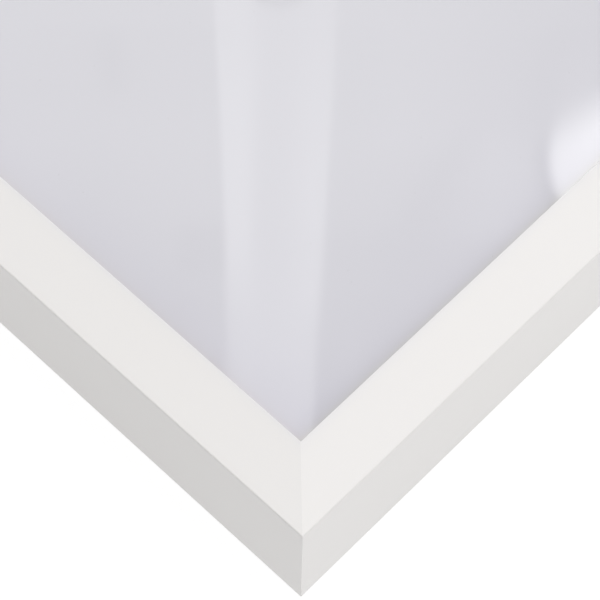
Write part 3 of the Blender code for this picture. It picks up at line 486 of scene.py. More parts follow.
def joined(geometry):
    """Vertices that share a place made one, and the imported normals dropped."""
    inputs = {"Geometry": geometry, "Distance": 0.002 * MM}
    merged = geometry.node("GeometryNodeMergeByDistance", inputs, "Geometry")
    inputs = {"Geometry": merged, "Name": "custom_normal"}
    return merged.node("GeometryNodeRemoveAttribute", inputs, "Geometry")


def creased(geometry):
    """Smooth faces, with sharp edges where two meet at more than 38 degrees."""

    def shade(shape, domain, smooth):
        inputs = {"Geometry": shape, "Shade Smooth": smooth}
        return shape.node("GeometryNodeSetShadeSmooth", inputs, "Geometry", domain=domain)

    faces = shade(geometry, "FACE", True)
    angle = geometry.node("GeometryNodeInputMeshEdgeAngle", {}, "Unsigned Angle")
    return shade(faces, "EDGE", angle.math("LESS_THAN", math.radians(38)))


JOINED, CREASED = geometry_group("joined", joined), geometry_group("creased", creased)


def by_start(table, name):
    return next((entry for start, entry in table.items() if name.startswith(start)), None)


def dress(name, solid):
    """Gives a CAD solid its look, clean faces, rounded edges and tidy normals."""
    for slot in solid.material_slots:
        slot.material = by_start(LOOKS, name)
    solid.modifiers.new("joined", "NODES").node_group = JOINED
    flat = solid.modifiers.new("flatten", "DECIMATE")
    flat.decimate_type = "DISSOLVE"
    flat.angle_limit = math.radians(0.6)
    width = by_start(EDGES, name)
    if width:
        bevel = solid.modifiers.new("edges", "BEVEL")
        bevel.width = width * MM
        bevel.segments = 2
        bevel.limit_method = "ANGLE"
        bevel.angle_limit = math.radians(50)
        bevel.use_clamp_overlap = True
    solid.modifiers.new("creased", "NODES").node_group = CREASED
    weighted = solid.modifiers.new("normals", "WEIGHTED_NORMAL")
    weighted.mode = "FACE_AREA"
    weighted.weight = 100
    weighted.keep_sharp = True


for name, solid in NODES.items():
    dress(name, solid)


# ------------------------------------------------------------------ mesh helpers


def add_object(name, data):
    made = bpy.data.objects.new(name, data)
    bpy.context.scene.collection.objects.link(made)
    return made


def link(name, mesh, look, body, replaces=()):
    """Adds a piece that rides on a body. A mesh that has its materials takes None as look."""
    made = add_object(name, mesh)
    if look:
        mesh.materials.append(look)
    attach(made, body)
    if replaces:
        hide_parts(*replaces)


def shade(mesh, smooth):
    mesh.shade_smooth()
    mesh.set_sharp_from_angle(angle=math.radians(smooth))


def closed(name, bm, smooth=40):
    bmesh.ops.recalc_face_normals(bm, faces=bm.faces)
    mesh = bpy.data.meshes.new(name)
    bm.to_mesh(mesh)
    bm.free()
    shade(mesh, smooth)
    return mesh


def fillet(stations, steps):
    """Rounds the corners of an open outline of (x, y, corner radius); 0 leaves its corner."""
    out = []
    points = [Vector((x, y)) for x, y, _ in stations]
    for i, (point, (_, _, radius)) in enumerate(zip(points, stations)):
        if not radius or i in (0, len(points) - 1):
            out.append(tuple(point))
            continue
        back, ahead = points[i - 1] - point, points[i + 1] - point
        back_length, ahead_length = back.length, ahead.length
        back, ahead = back / back_length, ahead / ahead_length
        half = math.acos(max(-1, min(1, back.dot(ahead)))) / 2
        reach = min(radius / math.tan(half), back_length * 0.49, ahead_length * 0.49)
        fitted = reach * math.tan(half)
        centre = point + (back + ahead).normalized() * (fitted / math.sin(half))
        start, stop = point + back * reach - centre, point + ahead * reach - centre
        sweep = start.angle_signed(stop) if start.length and stop.length else 0
        for k in range(steps + 1):
            angle = -sweep * k / steps
            cosine, sine = math.cos(angle), math.sin(angle)
            out.append((
                centre.x + start.x * cosine - start.y * sine,
                centre.y + start.x * sine + start.y * cosine,
            ))
    return out


def circle(radius, count, x=0.0):
    angles = [TURN * i / count for i in range(count)]
    return [(x + radius * math.cos(angle), radius * math.sin(angle)) for angle in angles]


def at_height(points, height):
    return [(x, y, height) for x, y in points]


def bridge(bm, lower, upper):
    """Faces between two rings of vertices; either may be a single vertex."""
    count = max(len(lower), len(upper))
    for i in range(count):
        j = (i + 1) % count
        if len(lower) == 1:
            bm.faces.new((lower[0], upper[j], upper[i]))
        elif len(upper) == 1:
            bm.faces.new((lower[i], lower[j], upper[0]))
        else:
            bm.faces.new((lower[i], lower[j], upper[j], upper[i]))


def lathe(name, profile, sides):
    """Turns (radius, height) pairs about Z. Both ends lie on the axis."""
    bm = bmesh.new()
    rings = []
    for radius, height in profile:
        points = [(0, 0)] if radius < 1e-7 else circle(radius, sides)
        rings.append([bm.verts.new(point) for point in at_height(points, height)])
    for lower, upper in zip(rings, rings[1:]):
        bridge(bm, lower, upper)
    return closed(name, bm, 35)


def skin(bm, rings):
    """Skins rings that all have the same number of points, with flat caps."""
    loops = [[bm.verts.new(point) for point in ring] for ring in rings]
    for lower, upper in zip(loops, loops[1:]):
        bridge(bm, lower, upper)
    bm.faces.new(loops[0])
    bm.faces.new(loops[-1])


def stack(name, rings, smooth=35):
    bm = bmesh.new()
    skin(bm, rings)
    return closed(name, bm, smooth)


def rounded(width, depth, radius, steps=8):
    """Outline of a rectangle with round corners."""
    out = []
    for quarter, (side_x, side_y) in enumerate(((1, 1), (-1, 1), (-1, -1), (1, -1))):
        x, y = side_x * (width / 2 - radius), side_y * (depth / 2 - radius)
        for k in range(steps + 1):
            angle = math.radians(90 * quarter + 90 * k / steps)
            out.append((x + radius * math.cos(angle), y + radius * math.sin(angle)))
    return out


def booleaned(name, base, cutters, union=(), smooth=35):
    """A new mesh: the base with others joined and cutters taken out. Each may have a matrix."""
    temps = []

    def temp(mesh, matrix=Matrix()):
        made = add_object("temp", mesh)
        made.matrix_world = matrix
        temps.append(made)
        return made

    body = temp(base)
    for operation, group in (("UNION", union), ("DIFFERENCE", cutters)):
        for item in group:
            modifier = body.modifiers.new("b", "BOOLEAN")
            modifier.operation, modifier.solver = operation, "EXACT"
            modifier.object = temp(*item) if isinstance(item, tuple) else temp(item)
    bpy.context.view_layer.update()
    depsgraph = bpy.context.evaluated_depsgraph_get()
    made = bpy.data.meshes.new_from_object(body.evaluated_get(depsgraph))
    for used in temps:
        bpy.data.objects.remove(used)
    made.name = name
    shade(made, smooth)
    return made


def box_mesh(name, low, high):
    bm = bmesh.new()
    bmesh.ops.create_cube(bm, size=1.0)
    for vert in bm.verts:
        vert.co = Vector([lo if c < 0 else hi for c, lo, hi in zip(vert.co, low, high)])
    return closed(name, bm)


def to_base(low, high):
    """Moves a mesh from the origin to the middle of a box's underside."""
    return Matrix.Translation(((low.x + high.x) / 2, (low.y + high.y) / 2, low.z))


# ------------------------------------------------------------------ mitre beads

BEAD_RADIUS = 0.075 * MM
BEAD_SUNK = 0.055 * MM  # how far its centre line lies under the surface
OUTER_ROUND = 0.5 * MM  # the bars' top outer edge
LIP_ROUND = 0.4 * MM  # the bars' top inner edge


def bead_path():
    """(distance in along both bars, height): up the corner, along the mitre, over the lip."""
    base = (BEAD_SUNK * 0.75, BOTTOM + 0.6 * MM)
    path = [base, (BEAD_SUNK * 0.75, TOP - OUTER_ROUND)]
    reach = OUTER_ROUND - BEAD_SUNK
    for k in range(1, 6):
        angle = math.radians(90 * k / 6)
        inward = OUTER_ROUND - reach * math.cos(angle)
        path.append((inward, TOP - OUTER_ROUND + reach * math.sin(angle)))
    path += [(OUTER_ROUND, TOP - BEAD_SUNK), (BAR_WIDTH - LIP_ROUND, TOP - BEAD_SUNK)]
    reach = LIP_ROUND - BEAD_SUNK
    for k in range(1, 5):
        angle = math.radians(90 * k / 5)
        inward = BAR_WIDTH - LIP_ROUND + reach * math.sin(angle)
        path.append((inward, TOP - LIP_ROUND + reach * math.cos(angle)))
    path += [(BAR_WIDTH - BEAD_SUNK, TOP - LIP_ROUND), (BAR_WIDTH - BEAD_SUNK, TOP - 1.9 * MM)]
    return path


def mitre_bead(name, corner_x, corner_y, inward_x, inward_y):
    """A hair-thin bead where the coat bridges the saw cut."""
    path = bead_path()
    curve = bpy.data.curves.new(name, "CURVE")
    curve.dimensions = "3D"
    curve.bevel_depth = BEAD_RADIUS
    curve.bevel_resolution = 2
    curve.use_fill_caps = True
    spline = curve.splines.new("POLY")
    spline.points.add(len(path) - 1)
    for knot, (inward, height) in zip(spline.points, path):
        knot.co = (corner_x + inward_x * inward, corner_y + inward_y * inward, height, 1)
    draft = add_object(name + "_path", curve)
    bpy.context.view_layer.update()
    bm = bmesh.new()
    bm.from_mesh(draft.evaluated_get(bpy.context.evaluated_depsgraph_get()).to_mesh())
    bpy.data.objects.remove(draft)
    # joins the caps to the sides
    bmesh.ops.remove_doubles(bm, verts=bm.verts, dist=0.002 * MM)
    link(name, closed(name, bm, 60), BEAD, "table")


mitre_bead("mitre_bead_front_left", LEFT, FRONT, 1, 1)
mitre_bead("mitre_bead_front_right", RIGHT, FRONT, -1, 1)
mitre_bead("mitre_bead_rear_left", LEFT, REAR, 1, -1)
mitre_bead("mitre_bead_rear_right", RIGHT, REAR, -1, -1)

# ------------------------------------------------------------------ feet

# Underside, from the axis out: (share of the radius, height in mm, corner radius in mm)
FOOT_TREAD = (
    (0, 0.45, 0), (0.30, 0.45, 0.2), (0.36, 0, 0.2), (0.56, 0, 0.2), (0.60, 0.3, 0.1),
    (0.66, 0.3, 0.1), (0.70, 0, 0.2), (0.90, 0, 0.5), (1, 1.0, 0.6),
)


def foot(name):
    """Moulded rubber disc with a rounded tread and a grip ring."""
    low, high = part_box(name)
    radius, tall = (high.x - low.x) / 2, high.z - low.z
    stations = [(share * radius, z * MM, corner * MM) for share, z, corner in FOOT_TREAD]
    stations += [(radius, tall, 0.25 * MM), (0, tall, 0)]
    mesh = lathe(name + "_look", fillet(stations, 4), 72)
    mesh.transform(to_base(low, high))
    link(name + "_moulded", mesh, RUBBER, "table", [name])


for name in ("foot_front_left", "foot_front_right", "foot_rear_left", "foot_rear_right"):
    foot(name)

# ------------------------------------------------------------------ cover screws


def cover_screw(name):
    """Pan head, facing down, with a cross recess; its shank points up."""
    low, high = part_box(name)
    head_radius, tall = (high.x - low.x) / 2 / MM, (high.z - low.z) / MM
    # mm: radius, height, corner radius
    stations = (
        (0, 0, 0), (1.45, 0.05, 0.8), (2.35, 0.45, 0.8), (head_radius, 1.05, 0.3),
        (head_radius, 1.6, 0.12), (1.4, 1.6, 0.1), (1.4, 6.6, 0), (0.4, tall, 0), (0, tall, 0),
    )
    head = lathe("head", fillet([mm(*row) for row in stations], 4), 40)
    wing = box_mesh("wing", mm(-1.55, -0.32, -1), mm(1.55, 0.32, 1))
    rings = [
        at_height(circle(share * 0.75 * MM, 12), z) for share, z in ((1.25, -MM), (0.5, 1.25 * MM))
    ]
    taper = stack("taper", rings)
    crossed = (wing, Matrix.Rotation(math.pi / 2, 4, "Z"))
    mesh = booleaned(name + "_look", head, [wing, crossed, taper])
    turn = sum(ord(letter) for letter in name) * 0.7  # each screw stops at its own angle
    mesh.transform(to_base(low, high) @ Matrix.Rotation(turn, 4, "Z"))
    link(name + "_pan", mesh, ZINC, "table", [name])


for name in sorted(NODES):
    if name.startswith("cover_screw"):
        cover_screw(name)

# ------------------------------------------------------------------ rear controls

# Apart from the rocker, their meshes are made lying on XY, +Z away from the wall, then stood up

DIMMER = Vector(JOINTS["dimmer_turn"]["pos_m"])
ROCKER = Vector(JOINTS["switch_tilt"]["pos_m"])


def on_wall(x, turn=0.0):
    place = Matrix.Translation((x, REAR, DIMMER.z)) @ Matrix.Rotation(turn, 4, "Y")
    return place @ Matrix.Rotation(-math.pi / 2, 4, "X")


def tags(low, high, places):
    """Metal tags with the same box, in mm, at places along X."""
    return [
        (box_mesh("tag", mm(*low), mm(*high)), Matrix.Translation((x * MM, 0, 0))) for x in places
    ]


def link_black(name, mesh, x, replaced, is_metal):
    """Stands up a black moulding, nickel-plated where is_metal is true of a face's centre."""
    mesh.materials.append(BLACK)
    mesh.materials.append(NICKEL)
    for face in mesh.polygons:
        if is_metal(face.center):
            face.material_index = 1
    mesh.transform(on_wall(x))
    link(name, mesh, None, "table", [replaced])


# ---- dimmer knob

KNOB_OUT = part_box("dimmer_knob")[1].y - REAR
KNOB_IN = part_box("dimmer_knob")[0].y - REAR
KNOB_RADIUS = 9.0 * MM
FLUTES, FLUTE_STEPS = 20, 12
REST_TURN = math.radians(-40)
# Rings from the wall out: (datum, mm out from it, mm inside the radius, mm of flute depth)
KNOB_RINGS = (
    (KNOB_IN, 0.0, 0.35, 0.0),
    (KNOB_IN, 0.25, 0.0, 0.0),
    (KNOB_IN, 1.15, 0.0, 0.0),
    (KNOB_IN, 1.35, 0.25, 0.0),
    (KNOB_IN, 1.6, 0.28, 0.50),
    (KNOB_OUT, -1.6, 0.50, 0.50),
    (KNOB_OUT, -1.0, 0.58, 0.42),
    (KNOB_OUT, -0.55, 0.80, 0.22),
    (KNOB_OUT, -0.25, 1.10, 0.06),
    (KNOB_OUT, -0.06, 1.45, 0.0),
    (KNOB_OUT, 0.0, 1.85, 0.0),
    (KNOB_OUT, -0.04, 2.2, 0.0),
    (KNOB_OUT, -0.30, 3.6, 0.0),
    (KNOB_OUT, -0.42, 6.0, 0.0),
    (KNOB_OUT, -0.45, 8.2, 0.0),
)
# mm: radius, height of the hollow for the nut and shaft
KNOB_HOLLOW = ((0, -1), (7.4, -1), (7.4, 3.2), (3.1, 3.2), (3.1, 9.9), (0, 9.9))


def knob_ring(height, radius, depth):
    ring = []
    for i in range(FLUTES * FLUTE_STEPS):
        angle = TURN * i / (FLUTES * FLUTE_STEPS)
        wave = 0.5 - 0.5 * math.cos(FLUTES * angle)
        reach = radius - depth * wave**1.6
        ring.append((reach * math.cos(angle), reach * math.sin(angle), height))
    return ring


def knob_box(name, half_width, near, far, inner, outer):
    """A box along the pointer: near and far from the axis, inner and outer from the wall."""
    return box_mesh(name, (-half_width, near, inner), (half_width, far, outer))


def knob():
    """Shallow rounded flutes, a crisp shoulder, a dished face and a groove for the pointer."""
    rings = [
        knob_ring(datum + out * MM, KNOB_RADIUS - inset * MM, depth * MM)
        for datum, out, inset, depth in KNOB_RINGS
    ]
    mesh = stack("knob_turned", rings, 50)
    hollow = lathe("hollow", [mm(*row) for row in KNOB_HOLLOW], 64)
    half, far, outer = 0.5 * MM, 12 * MM, KNOB_OUT + 1 * MM
    notch = knob_box("notch", half, 2.6 * MM, far, KNOB_OUT - 0.62 * MM, outer)
    side = knob_box("side", half, KNOB_RADIUS - 0.95 * MM, far, KNOB_IN + 2.2 * MM, outer)
    mesh = booleaned("knob_turned", mesh, [hollow, notch, side], smooth=50)
    mesh.transform(on_wall(DIMMER.x, REST_TURN))
    link("dimmer_knob_fluted", mesh, BLACK, "dimmer", ["dimmer_knob"])


def pointer():
    """Painted line across the knob's face and down its side."""
    half = 0.42 * MM
    line = knob_box(
        "line", half, 2.75 * MM, KNOB_RADIUS - 1.05 * MM, KNOB_OUT - 0.80 * MM, KNOB_OUT - 0.46 * MM
    )
    drop = knob_box(
        "drop", half, KNOB_RADIUS - 1.4 * MM, KNOB_RADIUS - 0.78 * MM,
        KNOB_IN + 2.4 * MM, KNOB_OUT - 0.50 * MM,
    )
    mesh = booleaned("pointer", line, [], [drop])
    mesh.transform(on_wall(DIMMER.x, REST_TURN))
    link("dimmer_pointer", mesh, WHITE_INK, "dimmer")


TICKS, TICK_START, TICK_SWEEP = 11, math.radians(40), math.radians(280)
TICK_NEAR = 10.6 * MM  # from the knob's axis


def dimmer_scale():
    """Printed ticks that lengthen clockwise, seen from behind."""
    bm = bmesh.new()
    for i in range(TICKS):
        share = i / (TICKS - 1)
        far = (11.5 + 1.3 * share) * MM
        half = (0.22 + 0.20 * share) * MM
        # angle 0 points down, and grows towards +X, which is clockwise from behind
        angle = TICK_START + TICK_SWEEP * share
        cosine, sine = math.cos(angle), math.sin(angle)
        outline = ((TICK_NEAR, -half), (far, -half), (far, half), (TICK_NEAR, half))
        skin(bm, [
            [
                (
                    DIMMER.x + (sine * along + cosine * aside),
                    REAR + out,
                    DIMMER.z + (-cosine * along + sine * aside),
                )
                for along, aside in outline
            ]
            for out in mm(-0.02, 0.02)
        ])
    link("dimmer_scale", closed("dimmer_scale", bm), INK, "table")


knob()
pointer()
dimmer_scale()

# ---- power inlet

# mm: radius, height over the wall, corner radius; the shell, its collar, its bore and the pin
INLET_PROFILE = (
    (0, -12.5, 0), (3.9, -12.5, 0.2), (3.9, 0.2, 0), (5.6, 0.2, 0.15), (5.6, 1.55, 0.2),
    (5.15, 1.8, 0.15), (3.25, 1.8, 0.12), (2.85, 1.35, 0.1), (2.85, -8.0, 0),
    (1.0, -8.0, 0), (1.0, 0.4, 0.2), (0.75, 0.9, 0.25), (0, 0.9, 0),
)


def inlet_metal(centre):
    """The pin and the tags."""
    on_pin = math.hypot(centre.x, centre.y) < 1.06 * MM and centre.z > -8.05 * MM
    return on_pin or centre.z < -12.6 * MM


def power_inlet():
    """Turned shell with a chamfered collar, and a slotted centre pin."""
    low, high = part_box("power_inlet")
    shell = lathe("shell", fillet([mm(*row) for row in INLET_PROFILE], 4), 72)
    contacts = tags((-0.9, -0.3, -16.5), (0.9, 0.3, -12.0), (-1.8, 1.8))
    slit = box_mesh("slit", mm(-0.16, -2, -3.5), mm(0.16, 2, 2))
    shell = booleaned("power_inlet_turned", shell, [slit], contacts)
    middle = (low.x + high.x) / 2
    link_black("power_inlet_turned", shell, middle, "power_inlet", inlet_metal)


power_inlet()

# ---- switch housing

# (growth on each side, height over the wall), in mm
BEZEL_LEVELS = ((0.0, 0.2), (0.0, 1.15), (-0.08, 1.42), (-0.28, 1.66), (-0.6, 1.8))
CAN_LEVELS = ((0.0, -14.5), (0.0, 1.0))
WELL_LEVELS = ((0.0, -7.5), (0.0, 1.45), (0.12, 1.66), (0.4, 1.84), (0.9, 2.1))


def block(name, width, depth, radius, levels, rounding=1.0):
    """Rounded block in mm; rounding is how far its corner radius follows its growth."""
    return stack(name, [
        at_height(
            rounded(*mm(width + 2 * grow, depth + 2 * grow, radius + grow * rounding)), z * MM
        )
        for grow, z in levels
    ])


def switch_housing():
    """A frame with a soft outer edge around a deep well, and the can behind it."""
    bezel = block("bezel", 21, 15, 1.3, BEZEL_LEVELS, rounding=0.6)
    can = block("can", 18.8, 12.6, 0.6, CAN_LEVELS)
    well = block("well", 16.8, 10.4, 0.5, WELL_LEVELS)
    hole = lathe("axle_hole", [mm(0, -5.9), mm(1.13, -5.9), mm(1.13, 5.9), mm(0, 5.9)], 32)
    pivot = Matrix.Translation((0, 0, ROCKER.y - REAR)) @ Matrix.Rotation(math.pi / 2, 4, "X")
    contacts = tags((-0.4, -2.3, -21.0), (0.4, 2.3, -14.0), (-5.5, 5.5))
    name = "switch_housing_moulded"
    mesh = booleaned(name, bezel, [well, (hole, pivot)], [can, *contacts])
    link_black(name, mesh, ROCKER.x, "switch_housing", lambda centre: centre.z < -14.6 * MM)


switch_housing()

# ---- rocker, made about its pivot: X along its length, +Y out of the wall, Z along its axle

ROCKER_HALF = 7.8 * MM
FACE_HALF = 7.0 * MM  # where the rounded ends begin
REST_TILT = Matrix.Translation(ROCKER) @ Matrix.Rotation(math.radians(8), 4, "Z")
# mm: x, y of the underside, from the left end to the right end
ROCKER_UNDER = ((-7.8, 0.4), (-6.2, -1.6), (-3.0, -3.4), (3.0, -3.4), (6.2, -1.6), (7.8, 0.4))
# mm: z, inset; the insets round the long edges
ROCKER_SECTIONS = (
    (-4.95, 0.3), (-4.86, 0.1), (-4.65, 0.0), (4.65, 0.0), (4.86, 0.1), (4.95, 0.3),
)


def saddle(x):
    """Height of the rocker's face over its pivot."""
    return (3.45 + 1.05 * (abs(x) / ROCKER_HALF) ** 1.8) * MM


def rocker_outline():
    stations = [(-7.45 + 14.9 * k / 32) * MM for k in range(33)]
    face = [(x, saddle(x)) for x in stations if abs(x) < FACE_HALF]
    end = fillet(
        [
            (-FACE_HALF, saddle(FACE_HALF), 0),
            (-ROCKER_HALF, saddle(ROCKER_HALF), 0.5 * MM),
            (-ROCKER_HALF, 0.4 * MM, 0),
        ],
        5,
    )[1:-1]
    under = [mm(*point) for point in reversed(ROCKER_UNDER)]
    return face + [(-x, y) for x, y in end] + under + end[::-1]


def rocker():
    """A smooth saddle with rounded ends, on its axle."""
    outline = rocker_outline()
    rings = []
    for z, inset in ROCKER_SECTIONS:
        shrink = 1 - inset * MM / ROCKER_HALF
        rings.append([
            (
                x * shrink,
                (y - inset * MM * 0.9) if y > 2 * MM else y + inset * MM * 0.3,
                z * MM,
            )
            for x, y in outline
        ])
    body = stack("rocker", rings, 40)
    stations = ((0, -5.7, 0), (1.05, -5.7, 0.15), (1.05, 5.7, 0.15), (0, 5.7, 0))
    axle = lathe("axle", fillet([mm(*row) for row in stations], 3), 32)
    name = "switch_rocker_moulded"
    mesh = booleaned(name, body, [], [axle], smooth=40)
    mesh.transform(REST_TILT)
    link(name, mesh, BLACK_GLOSS, "rocker", ["switch_rocker"])


# The marks are thin strips that follow the saddle, from just under it to just over it
MARK_UNDER, MARK_OVER = -0.05 * MM, 0.03 * MM
RING_X = -4.9  # mm
BAR_OUTLINE = ((4.74, -1.4), (5.06, -1.4), (5.06, 1.4), (4.74, 1.4))  # mm: x, z


def on_saddle(points, out):
    return [(x * MM, saddle(x * MM) + out, z * MM) for x, z in points]


def link_mark(name, mesh):
    mesh.transform(REST_TILT)
    link(name, mesh, WHITE_INK, "rocker")


def off_mark():
    """A ring at the end that is pressed in at rest, the right-hand one seen from behind."""
    bm = bmesh.new()
    outer, inner = circle(1.45, 40, x=RING_X), circle(1.1, 40, x=RING_X)
    sections = ((MARK_UNDER, outer), (MARK_OVER, outer), (MARK_OVER, inner), (MARK_UNDER, inner))
    loops = [[bm.verts.new(point) for point in on_saddle(row, out)] for out, row in sections]
    for lower, upper in zip(loops, loops[1:] + loops[:1]):
        bridge(bm, lower, upper)
    link_mark("switch_mark_off", closed("switch_mark_off", bm))


def on_mark():
    """A bar at the other end."""
    rings = [on_saddle(BAR_OUTLINE, out) for out in (MARK_UNDER, MARK_OVER)]
    link_mark("switch_mark_on", stack("switch_mark_on", rings, 40))


rocker()
off_mark()
on_mark()

# ------------------------------------------------------------------ studio floor

FLOOR_SEEN = 0.80  # glow that the camera sees
FLOOR_BOUNCE = 0.66  # glow that lights the table
BOUNCE_EXTRA, BOUNCE_REACH = 0.05, 0.045  # more bounce near the front left corner


def studio_floor():
    """A pale disc that mostly gives its own light, so that only a faint contact shadow stays."""
    look, shader, at = material("studio_floor")
    direct = source(look.node_tree, "ShaderNodeLightPath", "Is Camera Ray")
    x, y, _ = at.split()
    near = Vector((LEFT - 12 * MM, FRONT + 6 * MM))
    away = abs(x - near.x) ** 2.0 + abs(y - near.y) ** 2.0
    bounce = FLOOR_BOUNCE + (away * (-1 / BOUNCE_REACH**2)).exp() * BOUNCE_EXTRA
    feed(shader, {
        "Base Color": rgba((0.30, 0.30, 0.30)),
        "Roughness": 0.9,
        "Specular IOR Level": 0.0,
        "Emission Color": rgba((1.0, 1.0, 1.0)),
        "Emission Strength": direct * FLOOR_SEEN + (1.0 - direct) * bounce,
    })
    bm = bmesh.new()
    bmesh.ops.create_circle(bm, cap_ends=True, radius=9.0, segments=96)
    mesh = bpy.data.meshes.new("studio_floor")
    bm.to_mesh(mesh)
    bm.free()
    floor = add_object("studio_floor", mesh)
    floor.location.z = -0.2 * MM
    mesh.materials.append(look)


studio_floor()

# ------------------------------------------------------------------ surroundings

# Brightness by direction. What the panel mirrors is laid out by side and rise: the sideways and
# upward slopes of a direction about VIEW_AHEAD, the level direction that the camera looks in.
VIEW_AHEAD = (0.73218, 0.68111, 0.0)
VIEW_RIGHT = (VIEW_AHEAD[1], -VIEW_AHEAD[0], 0.0)

world = bpy.data.worlds.new("studio_surroundings")
bpy.context.scene.world = world
world.use_nodes = True
world_tree = world.node_tree
world_tree.nodes.clear()
way = source(world_tree, "ShaderNodeTexCoord", "Generated")
x, y, z = way.split()
ahead = way.dot(VIEW_AHEAD).max(0.02)
side = way.dot(VIEW_RIGHT) / ahead
rise = z / ahead


def toward(azimuth, elevation):
    azimuth, elevation = math.radians(azimuth), math.radians(elevation)
    level = math.cos(elevation)
    return (math.cos(azimuth) * level, math.sin(azimuth) * level, math.sin(elevation))


def lobe(direction, tightness, amount):
    return ((way.dot(direction) - 1.0) * tightness).exp() * amount


def patch(amount, left=None, right=None, bottom=None, top=None, across=side):
    """A soft-edged area of light. Each edge is (slope where it is 0, slope where it is full)."""
    edges = ((across, left), (across, right), (rise, bottom), (rise, top))
    return product([value.gate(*edge) for value, edge in edges if edge]) * amount


def upright(distance, half_width):
    return abs(distance).falloff(half_width, 2.0)


def mirrored_room():
    """A wall that darkens upwards, with what stands in the room as more or less light."""
    wall = rise.ramp(1.50, 2.20, 1.10, 0.02)
    wall = wall - side.step(0.02, 0.20) * rise.step(1.40, 1.62, 0.55, 0.0)
    leaning = upright(side - (0.132 - (rise - 1.56) * 0.25), half_width=0.014)
    slim = upright(side + 0.15, half_width=0.012)
    low_right = {"left": (0.112, 0.165), "bottom": (1.53, 1.63), "top": (1.76, 1.70)}
    return total([
        wall,
        patch(0.46, right=(-0.165, -0.25), bottom=(1.50, 1.60), top=(1.78, 1.66)),
        patch(-0.17, left=(-0.24, -0.18), bottom=(1.40, 1.44), top=(1.58, 1.50)),
        slim * patch(-0.42, bottom=(1.41, 1.45), top=(1.53, 1.49)),
        patch(
            -0.40, left=(-0.125, -0.095), right=(0.02, 0.0), bottom=(1.708, 1.722),
            top=(1.82, 1.78),
        ),
        patch(-0.16, left=(0.0, 0.02), right=(0.13, 0.10), bottom=(1.71, 1.725), top=(1.82, 1.76)),
        patch(0.30, right=(0.195, 0.180), **low_right),
        patch(0.20, **low_right),
        patch(0.36, left=(0.185, 0.215), bottom=(1.40, 1.46), top=(1.56, 1.50)),
        patch(0.25, right=(0.10, 0.075), bottom=(1.85, 1.94), across=abs(side + 0.023)),
        patch(0.15, left=(0.04, 0.08), right=(0.185, 0.165), bottom=(1.39, 1.43), top=(1.62, 1.56)),
        leaning * patch(-0.28, bottom=(1.53, 1.57), top=(1.74, 1.70)),
    ])


# The tall window. Rows of ramps by rise: (start, end, level at start, level at end).
WINDOW_LEFT = (
    (1.38, 1.56, -0.0686, -0.0670), (1.56, 1.70, 0.0, 0.0003), (1.72, 1.96, 0.0, -0.0024),
)
WINDOW_RIGHT = (
    (1.38, 1.48, 0.0226, 0.0232), (1.48, 1.66, 0.0, -0.0026),
    (1.66, 1.78, 0.0, -0.0010), (1.78, 1.95, 0.0, -0.0031),
)
LEFT_SOFTNESS = (1.40, 1.90, 0.0030, 0.0086)
RIGHT_SOFTNESS = (1.40, 1.85, 0.0030, 0.0078)
WINDOW_LEVEL = (1.74, 1.96, 1.66, 2.28)
# the brighter band inside each edge: what it gains and loses
LEFT_BAND_GAIN, LEFT_BAND_LOSS = (1.42, 1.54, 0.57, 0.87), (1.74, 1.90, 0.0, 0.84)
LEFT_BAND_EDGE = (1.50, 1.76, -0.0385, -0.0440)
RIGHT_BAND_GAIN = (1.39, 1.62, 0.15, 0.70)
RIGHT_BAND_LOSS = ((1.72, 1.76, 0.0, 0.14), (1.83, 1.92, 0.0, 0.48))
# the dim oval at the window's foot: (middle, half size) by side and by rise
SILL_SIDE, SILL_RISE = (-0.0205, 0.023), (1.368, 0.026)


def window_share():
    from_left = (side - rise.ramps(*WINDOW_LEFT)) / rise.ramp(*LEFT_SOFTNESS)
    from_right = (rise.ramps(*WINDOW_RIGHT) - side) / rise.ramp(*RIGHT_SOFTNESS)
    return from_left.step(-0.9, 0.9) * from_right.step(-0.9, 0.9) * rise.gate(2.40, 2.20)


def window_level():
    band_left = rise.ramp(*LEFT_BAND_GAIN) - rise.ramp(*LEFT_BAND_LOSS)
    band_right = rise.ramp(*RIGHT_BAND_GAIN) - rise.ramps(*RIGHT_BAND_LOSS)
    in_left = (side - rise.ramp(*LEFT_BAND_EDGE)).gate(0.0075, -0.0075)
    in_right = side.gate(-0.022, 0.013)
    level = rise.ramp(*WINDOW_LEVEL) + in_left * band_left + in_right * band_right
    squares = [
        ((slope - middle) / half) ** 2.0
        for slope, (middle, half) in ((side, SILL_SIDE), (rise, SILL_RISE))
    ]
    return level * total(squares).math("SQRT").step(0.75, 1.15, 0.45, 1.0)


def mirrored_scene():
    """The room, the window in it, and a lamp box with a dark rim to the right."""
    # the lamp's side is crisp and nearly upright; its slanted lower edge is soft
    lamp_side = 0.2009 + (rise - 1.56).max(0.0) ** 2.0 * 1.75
    lamp_edge = 1.549 - (side - 0.205) * 1.15
    from_side = side - lamp_side
    lamp = (
        from_side.step(-0.0065, 0.0080)
        * (rise - lamp_edge).step(-0.050, 0.048)
        * side.gate(0.33, 0.31)
        * rise.gate(1.80, 1.72)
    )
    rim = (side - lamp_side).step(-0.018, -0.006) * rise.step(1.54, 1.60)
    rim = rim * rise.step(1.85, 1.72) * 0.62
    lamp_level = side.ramp(0.204, 0.240, 5.15, 6.9) + rise.ramp(1.57, 1.65, 0.0, 0.3)
    behind = window_share().blend(mirrored_room() - rim, window_level())
    return lamp.blend(behind, lamp_level)


bearing = y.math("ARCTAN2", x)
elevation = z.math("ARCSINE")


